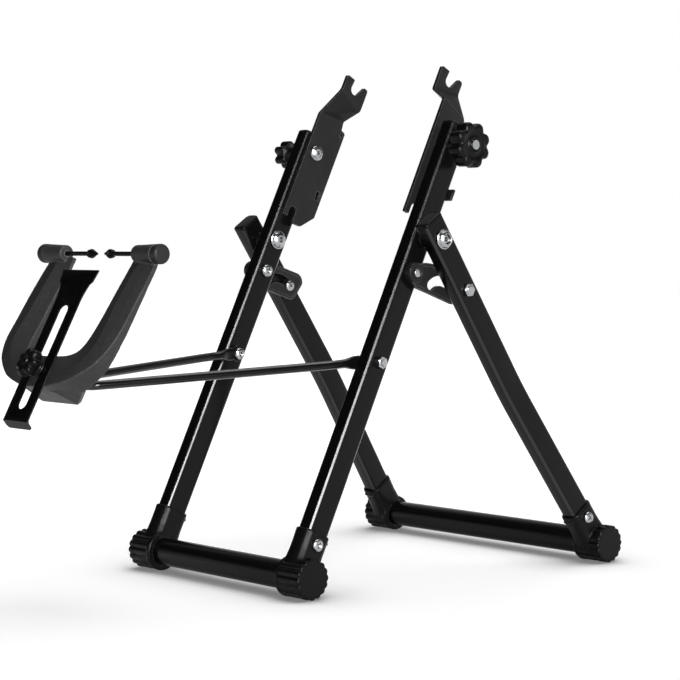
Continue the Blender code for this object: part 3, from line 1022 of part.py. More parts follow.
clamp = empty("clamp_knob_axis", yoke_axis, Matrix.Translation((0, 0, CLAMP_Q)))
washer_p = GAUGE_PLATE_FRONT + SEAT
washer = [(CLAMP_SCREW_RADIUS + BORE, -washer_p), (CLAMP_WASHER_RADIUS, -washer_p),
          (CLAMP_WASHER_RADIUS, -washer_p - CLAMP_WASHER_THICKNESS),
          (CLAMP_SCREW_RADIUS + BORE, -washer_p - CLAMP_WASHER_THICKNESS)]
finish("clamp_washer", turned(washer, "Y", 24), clamp, ZINC)
knob_p = washer_p + CLAMP_WASHER_THICKNESS + SEAT
lobed_knob("clamp_knob", clamp, PLASTIC, -1, knob_p, CLAMP_KNOB_NECK_RADIUS, CLAMP_KNOB_NECK_LENGTH,
           CLAMP_KNOB_STAR_LENGTH, CLAMP_KNOB_RADIUS, CLAMP_KNOB_LOBES, CLAMP_KNOB_LOBE_DEPTH,
           CLAMP_SCREW_RADIUS + BORE, "Y")
screw_end = knob_p + CLAMP_KNOB_NECK_LENGTH + CLAMP_KNOB_STAR_LENGTH
screw = [(0, -(YOKE_SEAT_P - CLAMP_SCREW_DEPTH)), (CLAMP_SCREW_RADIUS, -(YOKE_SEAT_P - CLAMP_SCREW_DEPTH)),
         (CLAMP_SCREW_RADIUS, -screw_end), (CLAMP_SCREW_RADIUS * 0.7, -screw_end - 0.6 * MM), (0, -screw_end - 0.6 * MM)]
finish("clamp_screw", turned(screw, "Y", 18), clamp, ZINC)

bpy.context.view_layer.update()
for name in ("stand", "stay_axis_left", "gauge_bar_axis", "yoke_axis", "dropout_slide_left", "dropout_knob_axis_left",
             "feeler_slide_left", "gauge_plate_slide", "clamp_knob_axis"):
    spot_at = bpy.data.objects[name].matrix_world.translation
    print(name, [round(v, 5) for v in spot_at])
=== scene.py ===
# %% [markdown]
# ## A folding wheel truing stand
# The real stand is a black A-frame: two front legs and two wider rear legs of painted rectangular
# tube, round crossbars in moulded tee feet, cranked steel dropouts with star knobs, and a bent rod
# that swings a plastic yoke with two screw feelers. The solid model already holds every size and
# joint, so this lesson loads it first and then dresses each piece in the same place.

# %% Load the solid stand and measure it
import json
import math

import bmesh
import bpy
from mathutils import Matrix, Vector


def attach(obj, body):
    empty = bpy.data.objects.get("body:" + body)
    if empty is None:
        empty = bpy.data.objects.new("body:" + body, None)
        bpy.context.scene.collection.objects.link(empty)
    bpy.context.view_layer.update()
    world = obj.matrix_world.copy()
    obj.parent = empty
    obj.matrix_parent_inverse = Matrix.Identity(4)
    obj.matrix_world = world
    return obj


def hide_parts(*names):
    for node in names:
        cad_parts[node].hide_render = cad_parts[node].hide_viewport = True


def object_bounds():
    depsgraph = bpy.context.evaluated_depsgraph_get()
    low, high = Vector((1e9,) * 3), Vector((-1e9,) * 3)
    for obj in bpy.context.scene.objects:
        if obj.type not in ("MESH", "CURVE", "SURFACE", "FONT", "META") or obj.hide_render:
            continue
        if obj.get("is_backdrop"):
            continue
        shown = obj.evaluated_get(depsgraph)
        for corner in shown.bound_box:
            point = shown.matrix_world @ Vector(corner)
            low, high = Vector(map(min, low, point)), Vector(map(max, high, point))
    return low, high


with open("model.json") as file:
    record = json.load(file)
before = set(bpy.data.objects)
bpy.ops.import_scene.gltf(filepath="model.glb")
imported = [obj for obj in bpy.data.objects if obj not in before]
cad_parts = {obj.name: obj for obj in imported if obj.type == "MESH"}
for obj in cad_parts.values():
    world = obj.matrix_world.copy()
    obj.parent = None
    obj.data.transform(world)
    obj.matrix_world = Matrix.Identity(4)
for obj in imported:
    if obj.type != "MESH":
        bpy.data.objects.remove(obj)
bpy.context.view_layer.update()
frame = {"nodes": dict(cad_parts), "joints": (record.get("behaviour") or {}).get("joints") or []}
hinges = {joint["name"]: joint for joint in frame["joints"]}
print("solid nodes:", len(frame["nodes"]))

# %% [markdown]
# ### Working frames
# Every tube, plate and bolt on the stand is square to one of a few tilted frames: the front legs,
# the rear legs, the lower splayed part of each rear leg, the slotted stays, the rod and the yoke.
# It is easier to draw a piece upright in its own frame and to move the finished mesh once than to
# work out tilted coordinates, so each frame is kept as one matrix that starts at its real pivot.
# The sizes of pieces and of the floor are typed in millimetres. Shaders, lamps and camera use metres.

# %% Frames that start at the pivots
MM = 0.001
SIDES = (("left", -1), ("right", 1))
FRONT_LEAN, REAR_LEAN, SPLAY = math.radians(26.16), math.radians(34.45), math.radians(4.58)
ROD_DROOP, YOKE_TILT = math.radians(2.8), math.radians(28.3)
LOCK_DROP, STAY_DROP, ROD_DROP, KNOB_RISE = 34.0, 56.5, 124.0, 97.0


def at(x, y, z):
    return Matrix.Translation(Vector((x, y, z)) * MM)


def pivot_frame(joint, lean):
    return Matrix.Translation(hinges[joint]["pos_m"]) @ Matrix.Rotation(lean, 4, "X")


pivot_point = Vector(hinges["rear_fold"]["pos_m"])
PIVOT_Y, PIVOT_HEIGHT = pivot_point.y / MM, pivot_point.z / MM
STAY_LEAN = math.atan2(STAY_DROP * math.cos(REAR_LEAN) - LOCK_DROP * math.cos(FRONT_LEAN),
                       STAY_DROP * math.sin(REAR_LEAN) + LOCK_DROP * math.sin(FRONT_LEAN))
FRONT_LEG = pivot_frame("rear_fold", -FRONT_LEAN)
REAR_LEG = pivot_frame("rear_fold", REAR_LEAN)
STAY = pivot_frame("stay_fold_left", -STAY_LEAN)
ROD = pivot_frame("gauge_swing", ROD_DROOP)
YOKE = pivot_frame("yoke_tilt", -YOKE_TILT)
print("pivot height in mm:", round(PIVOT_HEIGHT, 1))
print("the stays lean by", round(math.degrees(STAY_LEAN), 1), "degrees")

# %% [markdown]
# ### Making and settling a piece
# A piece starts as bmesh geometry in millimetres, and `mesh_object` turns it into metres.
# `place_piece` moves it to its place, rides it on the body that carries it, and hides the plain
# solid that it stands for. Some pieces need a boolean cut, a bevel or a voxel remesh first, and
# `settle` turns those modifiers into plain mesh, so that the smooth and sharp edges can be marked
# on the final faces.

# %% Placing, settling and cutting
def mesh_object(name, bm):
    bmesh.ops.recalc_face_normals(bm, faces=bm.faces)
    bm.transform(Matrix.Scale(MM, 4))
    mesh = bpy.data.meshes.new(name)
    bm.to_mesh(mesh)
    bm.free()
    piece = bpy.data.objects.new(name, mesh)
    bpy.context.scene.collection.objects.link(piece)
    return piece


def settle(piece, sharp=35.0):
    """Applies the modifiers, shades the mesh smooth and keeps only the real edges sharp."""
    shaped = piece.evaluated_get(bpy.context.evaluated_depsgraph_get())
    mesh = bpy.data.meshes.new_from_object(shaped)
    old = piece.data
    piece.modifiers.clear()
    piece.data = mesh
    bpy.data.meshes.remove(old)
    mesh.name = piece.name
    mesh.shade_smooth()
    mesh.set_sharp_from_angle(angle=math.radians(sharp))
    return piece


def join_solid(piece, tool, operation):
    """Joins another closed mesh to a piece, and then removes that mesh."""
    if isinstance(tool, bmesh.types.BMesh):
        tool = mesh_object("tool", tool)
    mod = piece.modifiers.new("join", "BOOLEAN")
    mod.operation, mod.solver, mod.object = operation, "EXACT", tool
    settle(piece)
    mesh = tool.data
    bpy.data.objects.remove(tool)
    bpy.data.meshes.remove(mesh)
    return piece


def weld(piece, tool):
    return join_solid(piece, tool, "UNION")


def cut(piece, tool):
    return join_solid(piece, tool, "DIFFERENCE")


def soften_edges(name, bm, width, segments=3, limit=32.0):
    piece = mesh_object(name, bm)
    mod = piece.modifiers.new("soft edge", "BEVEL")
    mod.width, mod.segments, mod.limit_method = width * MM, segments, "ANGLE"
    mod.angle_limit = math.radians(limit)
    mod.harden_normals = False
    return settle(piece, 40.0)


def melt(piece, voxel, smoothing=0):
    """Turns overlapping closed forms into one skin with soft joins."""
    mod = piece.modifiers.new("melt", "REMESH")
    mod.mode, mod.voxel_size = "VOXEL", voxel * MM
    if smoothing:
        even = piece.modifiers.new("even", "SMOOTH")
        even.factor, even.iterations = 0.5, smoothing
    return settle(piece, 60.0)


def place_piece(piece, where, body, solid, material):
    piece.data.transform(where)
    piece.data.materials.clear()
    piece.data.materials.append(material)
    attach(piece, body)
    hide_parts(solid)
    return piece


# %% [markdown]
# ### Turned parts and lofts
# Bolts, washers, feelers and spacers are lathe work, so they come from one spun outline. Real
# turned edges are never razor sharp, and `eased` swaps each corner of the outline for a small
# curve that catches a highlight. Lofts join rings of points, which suits tubes, caps and knobs.

# %% Outlines
CORNER_STEPS = 4


def corner_curve(a, b, c, span, steps):
    """A small curve in place of the corner b."""
    p, q = b + (a - b).normalized() * span, b + (c - b).normalized() * span
    shares = [i / steps for i in range(steps + 1)]
    return [p * (1 - t) ** 2 + b * 2 * t * (1 - t) + q * t * t for t in shares]


def eased(outline, reach, steps=CORNER_STEPS):
    """Rounds each inner corner of an open outline."""
    points = [Vector(outline[0])]
    for a, b, c in zip(outline, outline[1:], outline[2:]):
        a, b, c = Vector(a), Vector(b), Vector(c)
        span = min(reach, (a - b).length * 0.45, (c - b).length * 0.45)
        straight = span < 1e-6 or (a - b).angle(c - b) > math.radians(170)
        points += [b] if straight else corner_curve(a, b, c, span, steps)
    return [(p.x, p.y) for p in points + [Vector(outline[-1])]]


def rounded_corners(points, radius):
    """Rounds every corner of a closed outline that turns by 30 degrees or more."""
    made = []
    for i in range(len(points)):
        a, b, c = (Vector(points[(i + k) % len(points)]) for k in (-1, 0, 1))
        span = min(radius, (a - b).length * 0.4, (c - b).length * 0.4)
        straight = span < 1e-6 or math.pi - (a - b).angle(c - b) < math.radians(30)
        made += [b] if straight else corner_curve(a, b, c, span, CORNER_STEPS)
    return [(p.x, p.y) for p in made]


def arc(centre, radius, start, end, steps):
    turns = [math.radians(start + (end - start) * i / steps) for i in range(steps + 1)]
    return [(centre[0] + radius * math.cos(turn), centre[1] + radius * math.sin(turn)) for turn in turns]


def circle(radius, steps, centre=(0, 0), phase=0.0):
    turns = [math.tau * (i + phase) / steps for i in range(steps)]
    return [(centre[0] + radius * math.cos(turn), centre[1] + radius * math.sin(turn)) for turn in turns]


def rounded_box(width, depth, radius, steps=7):
    points = []
    for sx, sy, start in ((1, 1, 0), (-1, 1, 90), (-1, -1, 180), (1, -1, 270)):
        middle = (sx * (width / 2 - radius), sy * (depth / 2 - radius))
        points += arc(middle, radius, start, start + 90, steps)
    return points


print("an eased square corner has", len(eased([(0, 0), (1, 0), (1, 1)], 0.2)), "points")

# %% Skins from rings and outlines
def loft(rings, wrap=False, bm=None):
    """Joins rings of points, all of one length, into a skin that ends in caps or wraps round."""
    bm = bm or bmesh.new()
    made = [[bm.verts.new(p) for p in ring] for ring in rings]
    for low, high in list(zip(made, made[1:])) + ([(made[-1], made[0])] if wrap else []):
        for i in range(len(low)):
            j = (i + 1) % len(low)
            bm.faces.new((low[i], low[j], high[j], high[i]))
    if not wrap:
        bm.faces.new(made[0])
        bm.faces.new(list(reversed(made[-1])))
    return bm


def turned(outline, base=0.0, sign=1, ease=0.0, bends=CORNER_STEPS, steps=64, ring=False):
    """Spins points (radius, distance past base) about X. The outline of a bored ring closes."""
    points = [(radius, sign * (base + along)) for radius, along in outline + outline[:1] * ring]
    points = eased(points, ease, bends) if ease else points
    bm = bmesh.new()
    rows = []
    for radius, along in points[:-1] if ring else points:
        spun = circle(radius, steps) if radius > 1e-4 else [(0, 0)]
        rows.append([bm.verts.new((along, y, z)) for y, z in spun])
    for low, high in list(zip(rows, rows[1:])) + ([(rows[-1], rows[0])] if ring else []):
        for i in range(steps):
            j = (i + 1) % steps
            corners = [low[i % len(low)], low[j % len(low)], high[j % len(high)], high[i % len(high)]]
            corners = list(dict.fromkeys(corners))
            if len(corners) > 2:
                bm.faces.new(corners)
    return bm


def prism(points, low, high):
    """A straight bar along X with the given section."""
    return loft([[(x, y, z) for y, z in points] for x in (low, high)])


def drill(piece, radius, ends, y=0.0, z=0.0, steps=40):
    """Cuts a round hole along X."""
    low, high = sorted(ends)
    bit = turned([(0, low), (radius, low), (radius, high), (0, high)], steps=steps)
    bit.transform(Matrix.Translation((0, y, z)))
    return cut(piece, bit)


def sections(rows, middle, steps=7):
    """Rounded boxes up the Z axis, from rows of height, width, depth and corner."""
    return [[Vector((middle + x, y, z)) for x, y in rounded_box(width, depth, corner, steps)]
            for z, width, depth, corner in rows]


# %% [markdown]
# ### Shader groups
# Some effects turn up in more than one finish, so each is a node group that is built once: the
# orange-peel grain of powder coat and moulded plastic, a lighter line along edges that is partly
# wear from handling and partly a painted highlight, the fine rings that turning leaves under zinc, a
# breath of dust on faces that look up, painted shade that darkens recesses, and the gloss that a
# hand leaves on rounded corners. Each group gives only masks and heights, and the finish decides
# what to do with them.

# %% Start a node group
def new_group(name, inputs, outputs):
    """A shader group with float inputs {name: default} and float outputs."""
    group = bpy.data.node_groups.new(name, "ShaderNodeTree")
    for label, value in inputs.items():
        socket = group.interface.new_socket(label, in_out="INPUT", socket_type="NodeSocketFloat")
        socket.default_value = value
    for label in outputs:
        group.interface.new_socket(label, in_out="OUTPUT", socket_type="NodeSocketFloat")
    return group, group.nodes.new("NodeGroupInput").outputs, group.nodes.new("NodeGroupOutput").inputs


def add_node(tree, kind, inputs=None, output=0, **settings):
    """Adds a node, sets or links its inputs, and gives one of its outputs."""
    node = tree.nodes.new("ShaderNode" + kind)
    for key, value in settings.items():
        setattr(node, key, value)
    for key, value in (inputs or {}).items():
        if isinstance(value, bpy.types.NodeSocket):
            tree.links.new(value, node.inputs[key])
        else:
            node.inputs[key].default_value = value
    return node.outputs[output]


def remap(tree, value, low, high, to_low=0.0, to_high=1.0, smooth=False):
    limits = {"Value": value, "From Min": low, "From Max": high, "To Min": to_low, "To Max": to_high}
    return add_node(tree, "MapRange", limits, interpolation_type="SMOOTHSTEP" if smooth else "LINEAR")


def times(tree, first, second):
    return add_node(tree, "Math", {0: first, 1: second}, operation="MULTIPLY")


def noise(tree, scale, detail, roughness):
    spot = add_node(tree, "TexCoord", output="Object")
    inputs = {"Vector": spot, "Scale": scale, "Detail": detail, "Roughness": roughness}
    return add_node(tree, "TexNoise", inputs, "Fac")


def normal_part(tree, part):
    here = add_node(tree, "NewGeometry", output="Normal")
    return add_node(tree, "SeparateXYZ", {"Vector": here}, part)


# %% Grain of a coated or moulded skin
grain_group, given, result = new_group("skin_grain", {"Grain Size": 900.0, "Patch Size": 30.0},
                                       ["Height", "Patches"])
grain_group.links.new(noise(grain_group, given["Grain Size"], 3.0, 0.55), result["Height"])
grain_group.links.new(noise(grain_group, given["Patch Size"], 4.0, 0.6), result["Patches"])
print("skin_grain sockets:", [s.name for s in grain_group.interface.items_tree])

# %% Wear and painted highlight along the edges
edge_wear_sheen_group, given, result = new_group("edge_wear_and_sheen", {"Reach": 0.0007, "Breakup": 260.0}, ["Mask"])
# Lightens the edges: wear from handling, and in the sheet, gauge and yoke finishes a painted highlight.
wide = add_node(edge_wear_sheen_group, "Bevel", {"Radius": given["Reach"]}, samples=6)
here = add_node(edge_wear_sheen_group, "NewGeometry", output="Normal")
facing = add_node(edge_wear_sheen_group, "VectorMath", {0: wide, 1: here}, "Value", operation="DOT_PRODUCT")
patchy = remap(edge_wear_sheen_group, noise(edge_wear_sheen_group, given["Breakup"], 5.0, 0.7), 0.35, 0.62, 0.25, 1.0)
edge_wear_sheen_group.links.new(times(edge_wear_sheen_group, remap(edge_wear_sheen_group, facing, 0.995, 0.93), patchy), result["Mask"])

# %% Turning rings under the zinc
rings_group, given, result = new_group("turning_rings", {"Ring Count": 900.0, "Smudge Size": 140.0},
                                       ["Height", "Smudge"])
spot = add_node(rings_group, "TexCoord", output="Object")
waves = {"Vector": spot, "Scale": given["Ring Count"], "Distortion": 3.0, "Detail": 2.0}
rings = add_node(rings_group, "TexWave", waves, "Fac", wave_type="BANDS", bands_direction="DIAGONAL")
rings_group.links.new(rings, result["Height"])
rings_group.links.new(noise(rings_group, given["Smudge Size"], 4.0, 0.6), result["Smudge"])

# %% Dust on the faces that look up
dust_group, given, result = new_group("settled_dust", {"Amount": 0.1, "Clump Size": 220.0}, ["Mask"])
upward = remap(dust_group, normal_part(dust_group, "Z"), 0.3, 1.0)
scattered = times(dust_group, upward, noise(dust_group, given["Clump Size"], 6.0, 0.75))
dust_group.links.new(times(dust_group, scattered, given["Amount"]), result["Mask"])

# %% Painted shade in the recesses
recess_shade_group, given, result = new_group("recess_painted_shade", {"Reach": 0.002, "Open": 0.85}, ["Mask"])
# Painted shade: ambient occlusion finds the recesses, and the mask darkens the colour there.
shut = add_node(recess_shade_group, "AmbientOcclusion", {"Distance": given["Reach"]}, "AO", samples=6,
                only_local=True)
recess_shade_group.links.new(remap(recess_shade_group, shut, 0.30, given["Open"], 1.0, 0.0), result["Mask"])

# %% Gloss on the rounded corners of tubes
gloss_group, given, result = new_group("corner_gloss", {"Front Limit": 0.15, "Side Limit": 0.97}, ["Mask"])
sideways = add_node(gloss_group, "Math", {0: normal_part(gloss_group, "X")}, operation="ABSOLUTE")
past_front = remap(gloss_group, sideways, given["Front Limit"], 0.45, smooth=True)
before_side = remap(gloss_group, sideways, given["Side Limit"], 0.84, smooth=True)
gloss_group.links.new(times(gloss_group, past_front, before_side), result["Mask"])
print("shader groups:", [g.name for g in bpy.data.node_groups])

# %% [markdown]
# ### The finishes
# The legs, crossbars and rod are glossy powder coat, the plates and stays are a flatter coat on
# pressed sheet, and the gauge plate and feelers a blacker one. The feet, caps and knobs are moulded
# plastic, and the yoke is a greyer resin. The screws are bright zinc, but for the clamp's, which is
# blackened. Near black finishes differ mostly in how they spread a highlight, so colour stays close
# and the roughness, the grain and the edges do the work.

# %% A finish built from the groups
def new_finish(name):
    material = bpy.data.materials.new(name)
    material.use_nodes = True
    tree = material.node_tree
    return material, tree, tree.nodes["Principled BSDF"].inputs


def put_group(tree, group, **values):
    """Adds a group node. An input named grain_size is the socket Grain Size."""
    node = tree.nodes.new("ShaderNodeGroup")
    node.node_tree = group
    for key, value in values.items():
        node.inputs[key.replace("_", " ").title()].default_value = value
    return node.outputs


def mix_colour(tree, factor, first, second):
    first, second = ((*c, 1.0) if isinstance(c, tuple) else c for c in (first, second))
    return add_node(tree, "Mix", {"Factor": factor, 6: first, 7: second}, 2, data_type="RGBA")


DUST_COLOUR = (0.16, 0.155, 0.145)
PATCH_LOW, PATCH_HIGH = 0.3, 0.7


def dark_finish(name, base, lifted, edge_wear_sheen_tone, rough, grain, bump, specular, corner=0.0, dust=0.02,
                reach=0.0007, patch=26.0):
    """A painted or moulded black: patches in the tone, grain in the bump, lighter edges that are partly wear
    and partly a painted highlight, and dust.
    """
    material, tree, shader = new_finish(name)
    skin = put_group(tree, grain_group, grain_size=grain, patch_size=patch)
    wear_sheen_masks = put_group(tree, edge_wear_sheen_group, reach=reach, breakup=240.0)
    film = put_group(tree, dust_group, amount=dust, clump_size=260.0)
    tone = mix_colour(tree, skin["Patches"], base, lifted)
    tone = mix_colour(tree, wear_sheen_masks["Mask"], tone, edge_wear_sheen_tone)
    tree.links.new(mix_colour(tree, film["Mask"], tone, DUST_COLOUR), shader["Base Color"])
    shine = remap(tree, skin["Patches"], PATCH_LOW, PATCH_HIGH, rough - 0.05, rough + 0.05)
    tree.links.new(shine, shader["Roughness"])
    relief = add_node(tree, "Bump", {"Height": skin["Height"], "Strength": bump, "Distance": 0.0002})
    tree.links.new(relief, shader["Normal"])
    shader["Specular IOR Level"].default_value = specular
    if corner > 0.0:
        bare = put_group(tree, gloss_group, front_limit=0.15, side_limit=0.97)
        tree.links.new(times(tree, bare["Mask"], corner), shader["Coat Weight"])
        shader["Coat Roughness"].default_value = 0.17
    return material


powder_coat = dark_finish("powder_coat", (0.0015, 0.0015, 0.0017), (0.0028, 0.0028, 0.0030),
                          (0.010, 0.010, 0.0105), rough=0.20, grain=1500.0, bump=0.04, specular=0.12,
                          corner=0.8)
# Its light edge tone is a painted highlight along the sheet's rounded edges.
pressed_sheet = dark_finish("pressed_sheet", (0.007, 0.007, 0.0075), (0.012, 0.012, 0.0125),
                            (0.09, 0.09, 0.091), rough=0.36, grain=1200.0, bump=0.15, specular=0.10,
                            dust=0.03, reach=0.0009)
# Its light edge tone is a painted highlight on the thin edges and the lip.
strip_coat = dark_finish("strip_coat", (0.0016, 0.0016, 0.0018), (0.0030, 0.0030, 0.0032),
                         (0.09, 0.09, 0.091), rough=0.26, grain=1300.0, bump=0.05, specular=0.06,
                         dust=0.0, reach=0.0004)
moulded_black = dark_finish("moulded_black", (0.0022, 0.0022, 0.0024), (0.0040, 0.0040, 0.0042),
                            (0.035, 0.035, 0.0355), rough=0.28, grain=1900.0, bump=0.10, specular=0.09,
                            reach=0.0006)
# Its light edge tone is a painted highlight along the ridges and edges.
yoke_resin = dark_finish("yoke_resin", (0.016, 0.016, 0.0165), (0.036, 0.036, 0.0365), (0.13, 0.13, 0.13),
                         rough=0.44, grain=1300.0, bump=0.30, specular=0.10, reach=0.0016, patch=260.0)
cap_plastic = dark_finish("cap_plastic", (0.012, 0.012, 0.0125), (0.019, 0.019, 0.0195),
                          (0.04, 0.04, 0.0405), rough=0.36, grain=1500.0, bump=0.12, specular=0.09,
                          reach=0.0005)
print("dark finishes:", [m.name for m in bpy.data.materials if m.use_nodes])

# %% Bright zinc, and blackened steel for the clamp's screw and washer
def metal_finish(name, dull, clean, edge_wear_sheen_tone, smooth, rough, ring_count, smudge_size, recess_shade_and_rings=False):
    """Turned metal with smudges and rubbed edges, and, where asked, painted shade in recesses and fine rings.
    """
    material, tree, shader = new_finish(name)
    marks = put_group(tree, rings_group, ring_count=ring_count, smudge_size=smudge_size)
    wear_sheen_masks = put_group(tree, edge_wear_sheen_group, reach=0.0004, breakup=500.0)
    tone = mix_colour(tree, marks["Smudge"], dull, clean)
    tone = mix_colour(tree, wear_sheen_masks["Mask"], tone, edge_wear_sheen_tone)
    if recess_shade_and_rings:
        # Painted shade: the zinc turns near black in its recesses.
        shade_in_recess = put_group(tree, recess_shade_group, reach=0.0022, open=0.88)
        tone = mix_colour(tree, shade_in_recess["Mask"], tone, (0.035, 0.034, 0.032))
        relief = add_node(tree, "Bump", {"Height": marks["Height"], "Strength": 0.02, "Distance": 0.0001})
        tree.links.new(relief, shader["Normal"])
    tree.links.new(tone, shader["Base Color"])
    tree.links.new(remap(tree, marks["Smudge"], PATCH_LOW, PATCH_HIGH, smooth, rough), shader["Roughness"])
    shader["Metallic"].default_value = 1.0
    return material


zinc_plate = metal_finish("zinc_plate", (0.30, 0.31, 0.33), (0.46, 0.46, 0.46), (0.75, 0.75, 0.73),
                          smooth=0.16, rough=0.30, ring_count=420.0, smudge_size=160.0, recess_shade_and_rings=True)
black_steel = metal_finish("black_steel", (0.030, 0.030, 0.032), (0.055, 0.055, 0.056), (0.22, 0.22, 0.22),
                           smooth=0.26, rough=0.40, ring_count=700.0, smudge_size=200.0)

# %% [markdown]
# ## The frame
# ### Leg tubes
# Each leg is 16 by 25 mm rectangular steel tube with soft 3.8 mm corners. The rounded corners matter
# more than anything else here, because on black paint the long highlight along a corner is what
# shows the shape. A loft with eight points per corner keeps them smooth. The rear legs bend gently
# outward, so their rings follow a curved path, and every bolt hole is then cut through both walls.

# %% Hollow tube along a path
TUBE_WIDTH, TUBE_DEPTH, TUBE_WALL, TUBE_CORNER = 16.0, 25.0, 1.5, 3.8
FRONT_OUTER, REAR_INNER = 110.5, 121.9
FRONT_INNER, REAR_OUTER = FRONT_OUTER - TUBE_WIDTH, REAR_INNER + TUBE_WIDTH
FRONT_MIDDLE, REAR_MIDDLE = FRONT_OUTER - TUBE_WIDTH / 2, REAR_INNER + TUBE_WIDTH / 2
FRONT_TOP, REAR_TOP, CAP_HEIGHT, CAP_SEAT = 119.0, 22.8, 3.0, 0.3
KNOB_BORE, PIVOT_BORE, BOLT_BORE = 4.95, 4.35, 3.35
FOOT_RADIUS, LEG_END_ABOVE_AXLE = 18.5, 15.8
SPLAY_START, SPLAY_RADIUS = 174.6, 480.0
FRONT_LENGTH = (PIVOT_HEIGHT - FOOT_RADIUS) / math.cos(FRONT_LEAN)
REAR_LENGTH = ((PIVOT_HEIGHT - FOOT_RADIUS) / math.cos(REAR_LEAN) - SPLAY_START) / math.cos(SPLAY)


def leg_tube(name, path):
    """path holds (x, z, turn about Y) down the leg."""
    rings = []
    inside = rounded_box(TUBE_WIDTH - 2 * TUBE_WALL, TUBE_DEPTH - 2 * TUBE_WALL, TUBE_CORNER - 1.8)
    for outline in (rounded_box(TUBE_WIDTH, TUBE_DEPTH, TUBE_CORNER), inside):
        rows = [[(x + px * math.cos(turn), py, z - px * math.sin(turn)) for px, py in outline]
                for x, z, turn in path]
        rings += rows if not rings else list(reversed(rows))
    return mesh_object(name, loft(rings, wrap=True))


def splay_path(top, foot_end, steps=18):
    """Straight, a gentle bend, then straight and splayed outward."""
    reach = SPLAY_RADIUS * math.tan(SPLAY / 2)
    path = [(0.0, top, 0.0)]
    for i in range(steps + 1):
        turn = SPLAY * i / steps
        down = SPLAY_START - reach + SPLAY_RADIUS * math.sin(turn)
        path.append((SPLAY_RADIUS * (1 - math.cos(turn)), -down, turn))
    path.append((math.sin(SPLAY) * foot_end, -SPLAY_START - math.cos(SPLAY) * foot_end, SPLAY))
    return path


for side, s in SIDES:
    straight = [(s * FRONT_MIDDLE, -FRONT_LENGTH + LEG_END_ABOVE_AXLE, 0),
                (s * FRONT_MIDDLE, FRONT_TOP - CAP_HEIGHT - CAP_SEAT, 0)]
    splayed = [(s * (REAR_MIDDLE + x), z, -s * turn) for x, z, turn in
               splay_path(REAR_TOP - CAP_HEIGHT - CAP_SEAT, REAR_LENGTH - LEG_END_ABOVE_AXLE)]
    front_holes = ((KNOB_BORE, KNOB_RISE), (PIVOT_BORE, 0.0), (BOLT_BORE, -LOCK_DROP), (BOLT_BORE, -ROD_DROP))
    rear_holes = ((PIVOT_BORE, 0.0), (BOLT_BORE, -STAY_DROP))
    for end, path, holes, reach, where in (("front", straight, front_holes, 160, FRONT_LEG),
                                           ("rear", splayed, rear_holes, 190, REAR_LEG)):
        leg = leg_tube(f"{end}_tube_{side}", path)
        for radius, z in holes:
            drill(leg, radius, (s * 60, s * reach), z=z)
        place_piece(leg, where, f"{end}_frame", f"{end}_leg_{side}", powder_coat)
print("front leg length in mm:", round(FRONT_LENGTH, 1))

# %% [markdown]
# ### Leg caps
# A moulded plug closes the top of each tube. It has a thin rim as wide as the tube and a soft,
# pillow-like top, and a shank that grips inside. Lofting shrinking rings along a quarter curve gives
# the pillow, where a bevel would leave a flat lid with a machined look.

# %% Pillow-topped caps
def leg_cap(name, middle, top):
    base = top - CAP_HEIGHT
    rows = [(base - 9.0, 11.6, 20.6, 1.2), (base - 8.2, 12.4, 21.4, 1.2), (base, 12.4, 21.4, 1.2),
            (base, TUBE_WIDTH - 0.5, TUBE_DEPTH - 0.5, TUBE_CORNER),
            (base + 0.3, TUBE_WIDTH, TUBE_DEPTH, TUBE_CORNER),
            (base + 0.8, TUBE_WIDTH, TUBE_DEPTH, TUBE_CORNER)]
    for i in range(1, 9):
        turn = math.pi / 2 * i / 8
        shrink = 5.6 * (1 - math.cos(turn))
        rows.append((base + 0.8 + 2.2 * math.sin(turn), TUBE_WIDTH - shrink, TUBE_DEPTH - shrink,
                     TUBE_CORNER + 0.2 * shrink))
    return settle(mesh_object(name, loft(sections(rows, middle))), 50.0)


for side, s in SIDES:
    for end, middle, top, where in (("front", FRONT_MIDDLE, FRONT_TOP, FRONT_LEG),
                                    ("rear", REAR_MIDDLE, REAR_TOP, REAR_LEG)):
        plug = leg_cap(f"{end}_cap_{side}", s * middle, top)
        place_piece(plug, where, f"{end}_frame", f"{end}_leg_cap_{side}", moulded_black)
print("four caps,", CAP_HEIGHT, "mm tall")

# %% [markdown]
# ### Crossbars
# Two round tubes of 26 mm join the feet. They are lathe outlines with a wall, rolled a little at
# each mouth, because their ends can be seen when a foot is looked into from the side.

# %% Round crossbars
BAR_OUTSIDE, BAR_INSIDE = 13.0, 11.4
FOOT_LENGTH, FOOT_OVERHANG, BAR_INSERT = 32.6, 5.0, 17.0
front_foot_start = FRONT_MIDDLE + FOOT_OVERHANG - FOOT_LENGTH / 2
rear_foot_start = REAR_MIDDLE + math.sin(SPLAY) * REAR_LENGTH + FOOT_OVERHANG - FOOT_LENGTH / 2
FRONT_AXLE = at(0, PIVOT_Y - math.sin(FRONT_LEAN) * FRONT_LENGTH, FOOT_RADIUS)
REAR_AXLE = at(0, PIVOT_Y + math.sin(REAR_LEAN) * (SPLAY_START + REAR_LENGTH * math.cos(SPLAY)), FOOT_RADIUS)
for end, start, axle in (("front", front_foot_start, FRONT_AXLE), ("rear", rear_foot_start, REAR_AXLE)):
    half = start + BAR_INSERT
    outline = [((BAR_OUTSIDE + BAR_INSIDE) / 2, -half), (BAR_OUTSIDE, -half), (BAR_OUTSIDE, half),
               (BAR_INSIDE, half), (BAR_INSIDE, -half)]
    bar = mesh_object(f"{end}_bar", turned(outline, ease=0.5, steps=96, ring=True))
    place_piece(settle(bar, 40.0), axle, f"{end}_frame", f"{end}_crossbar", powder_coat)
    print(end, "crossbar length in mm:", round(2 * half, 1))

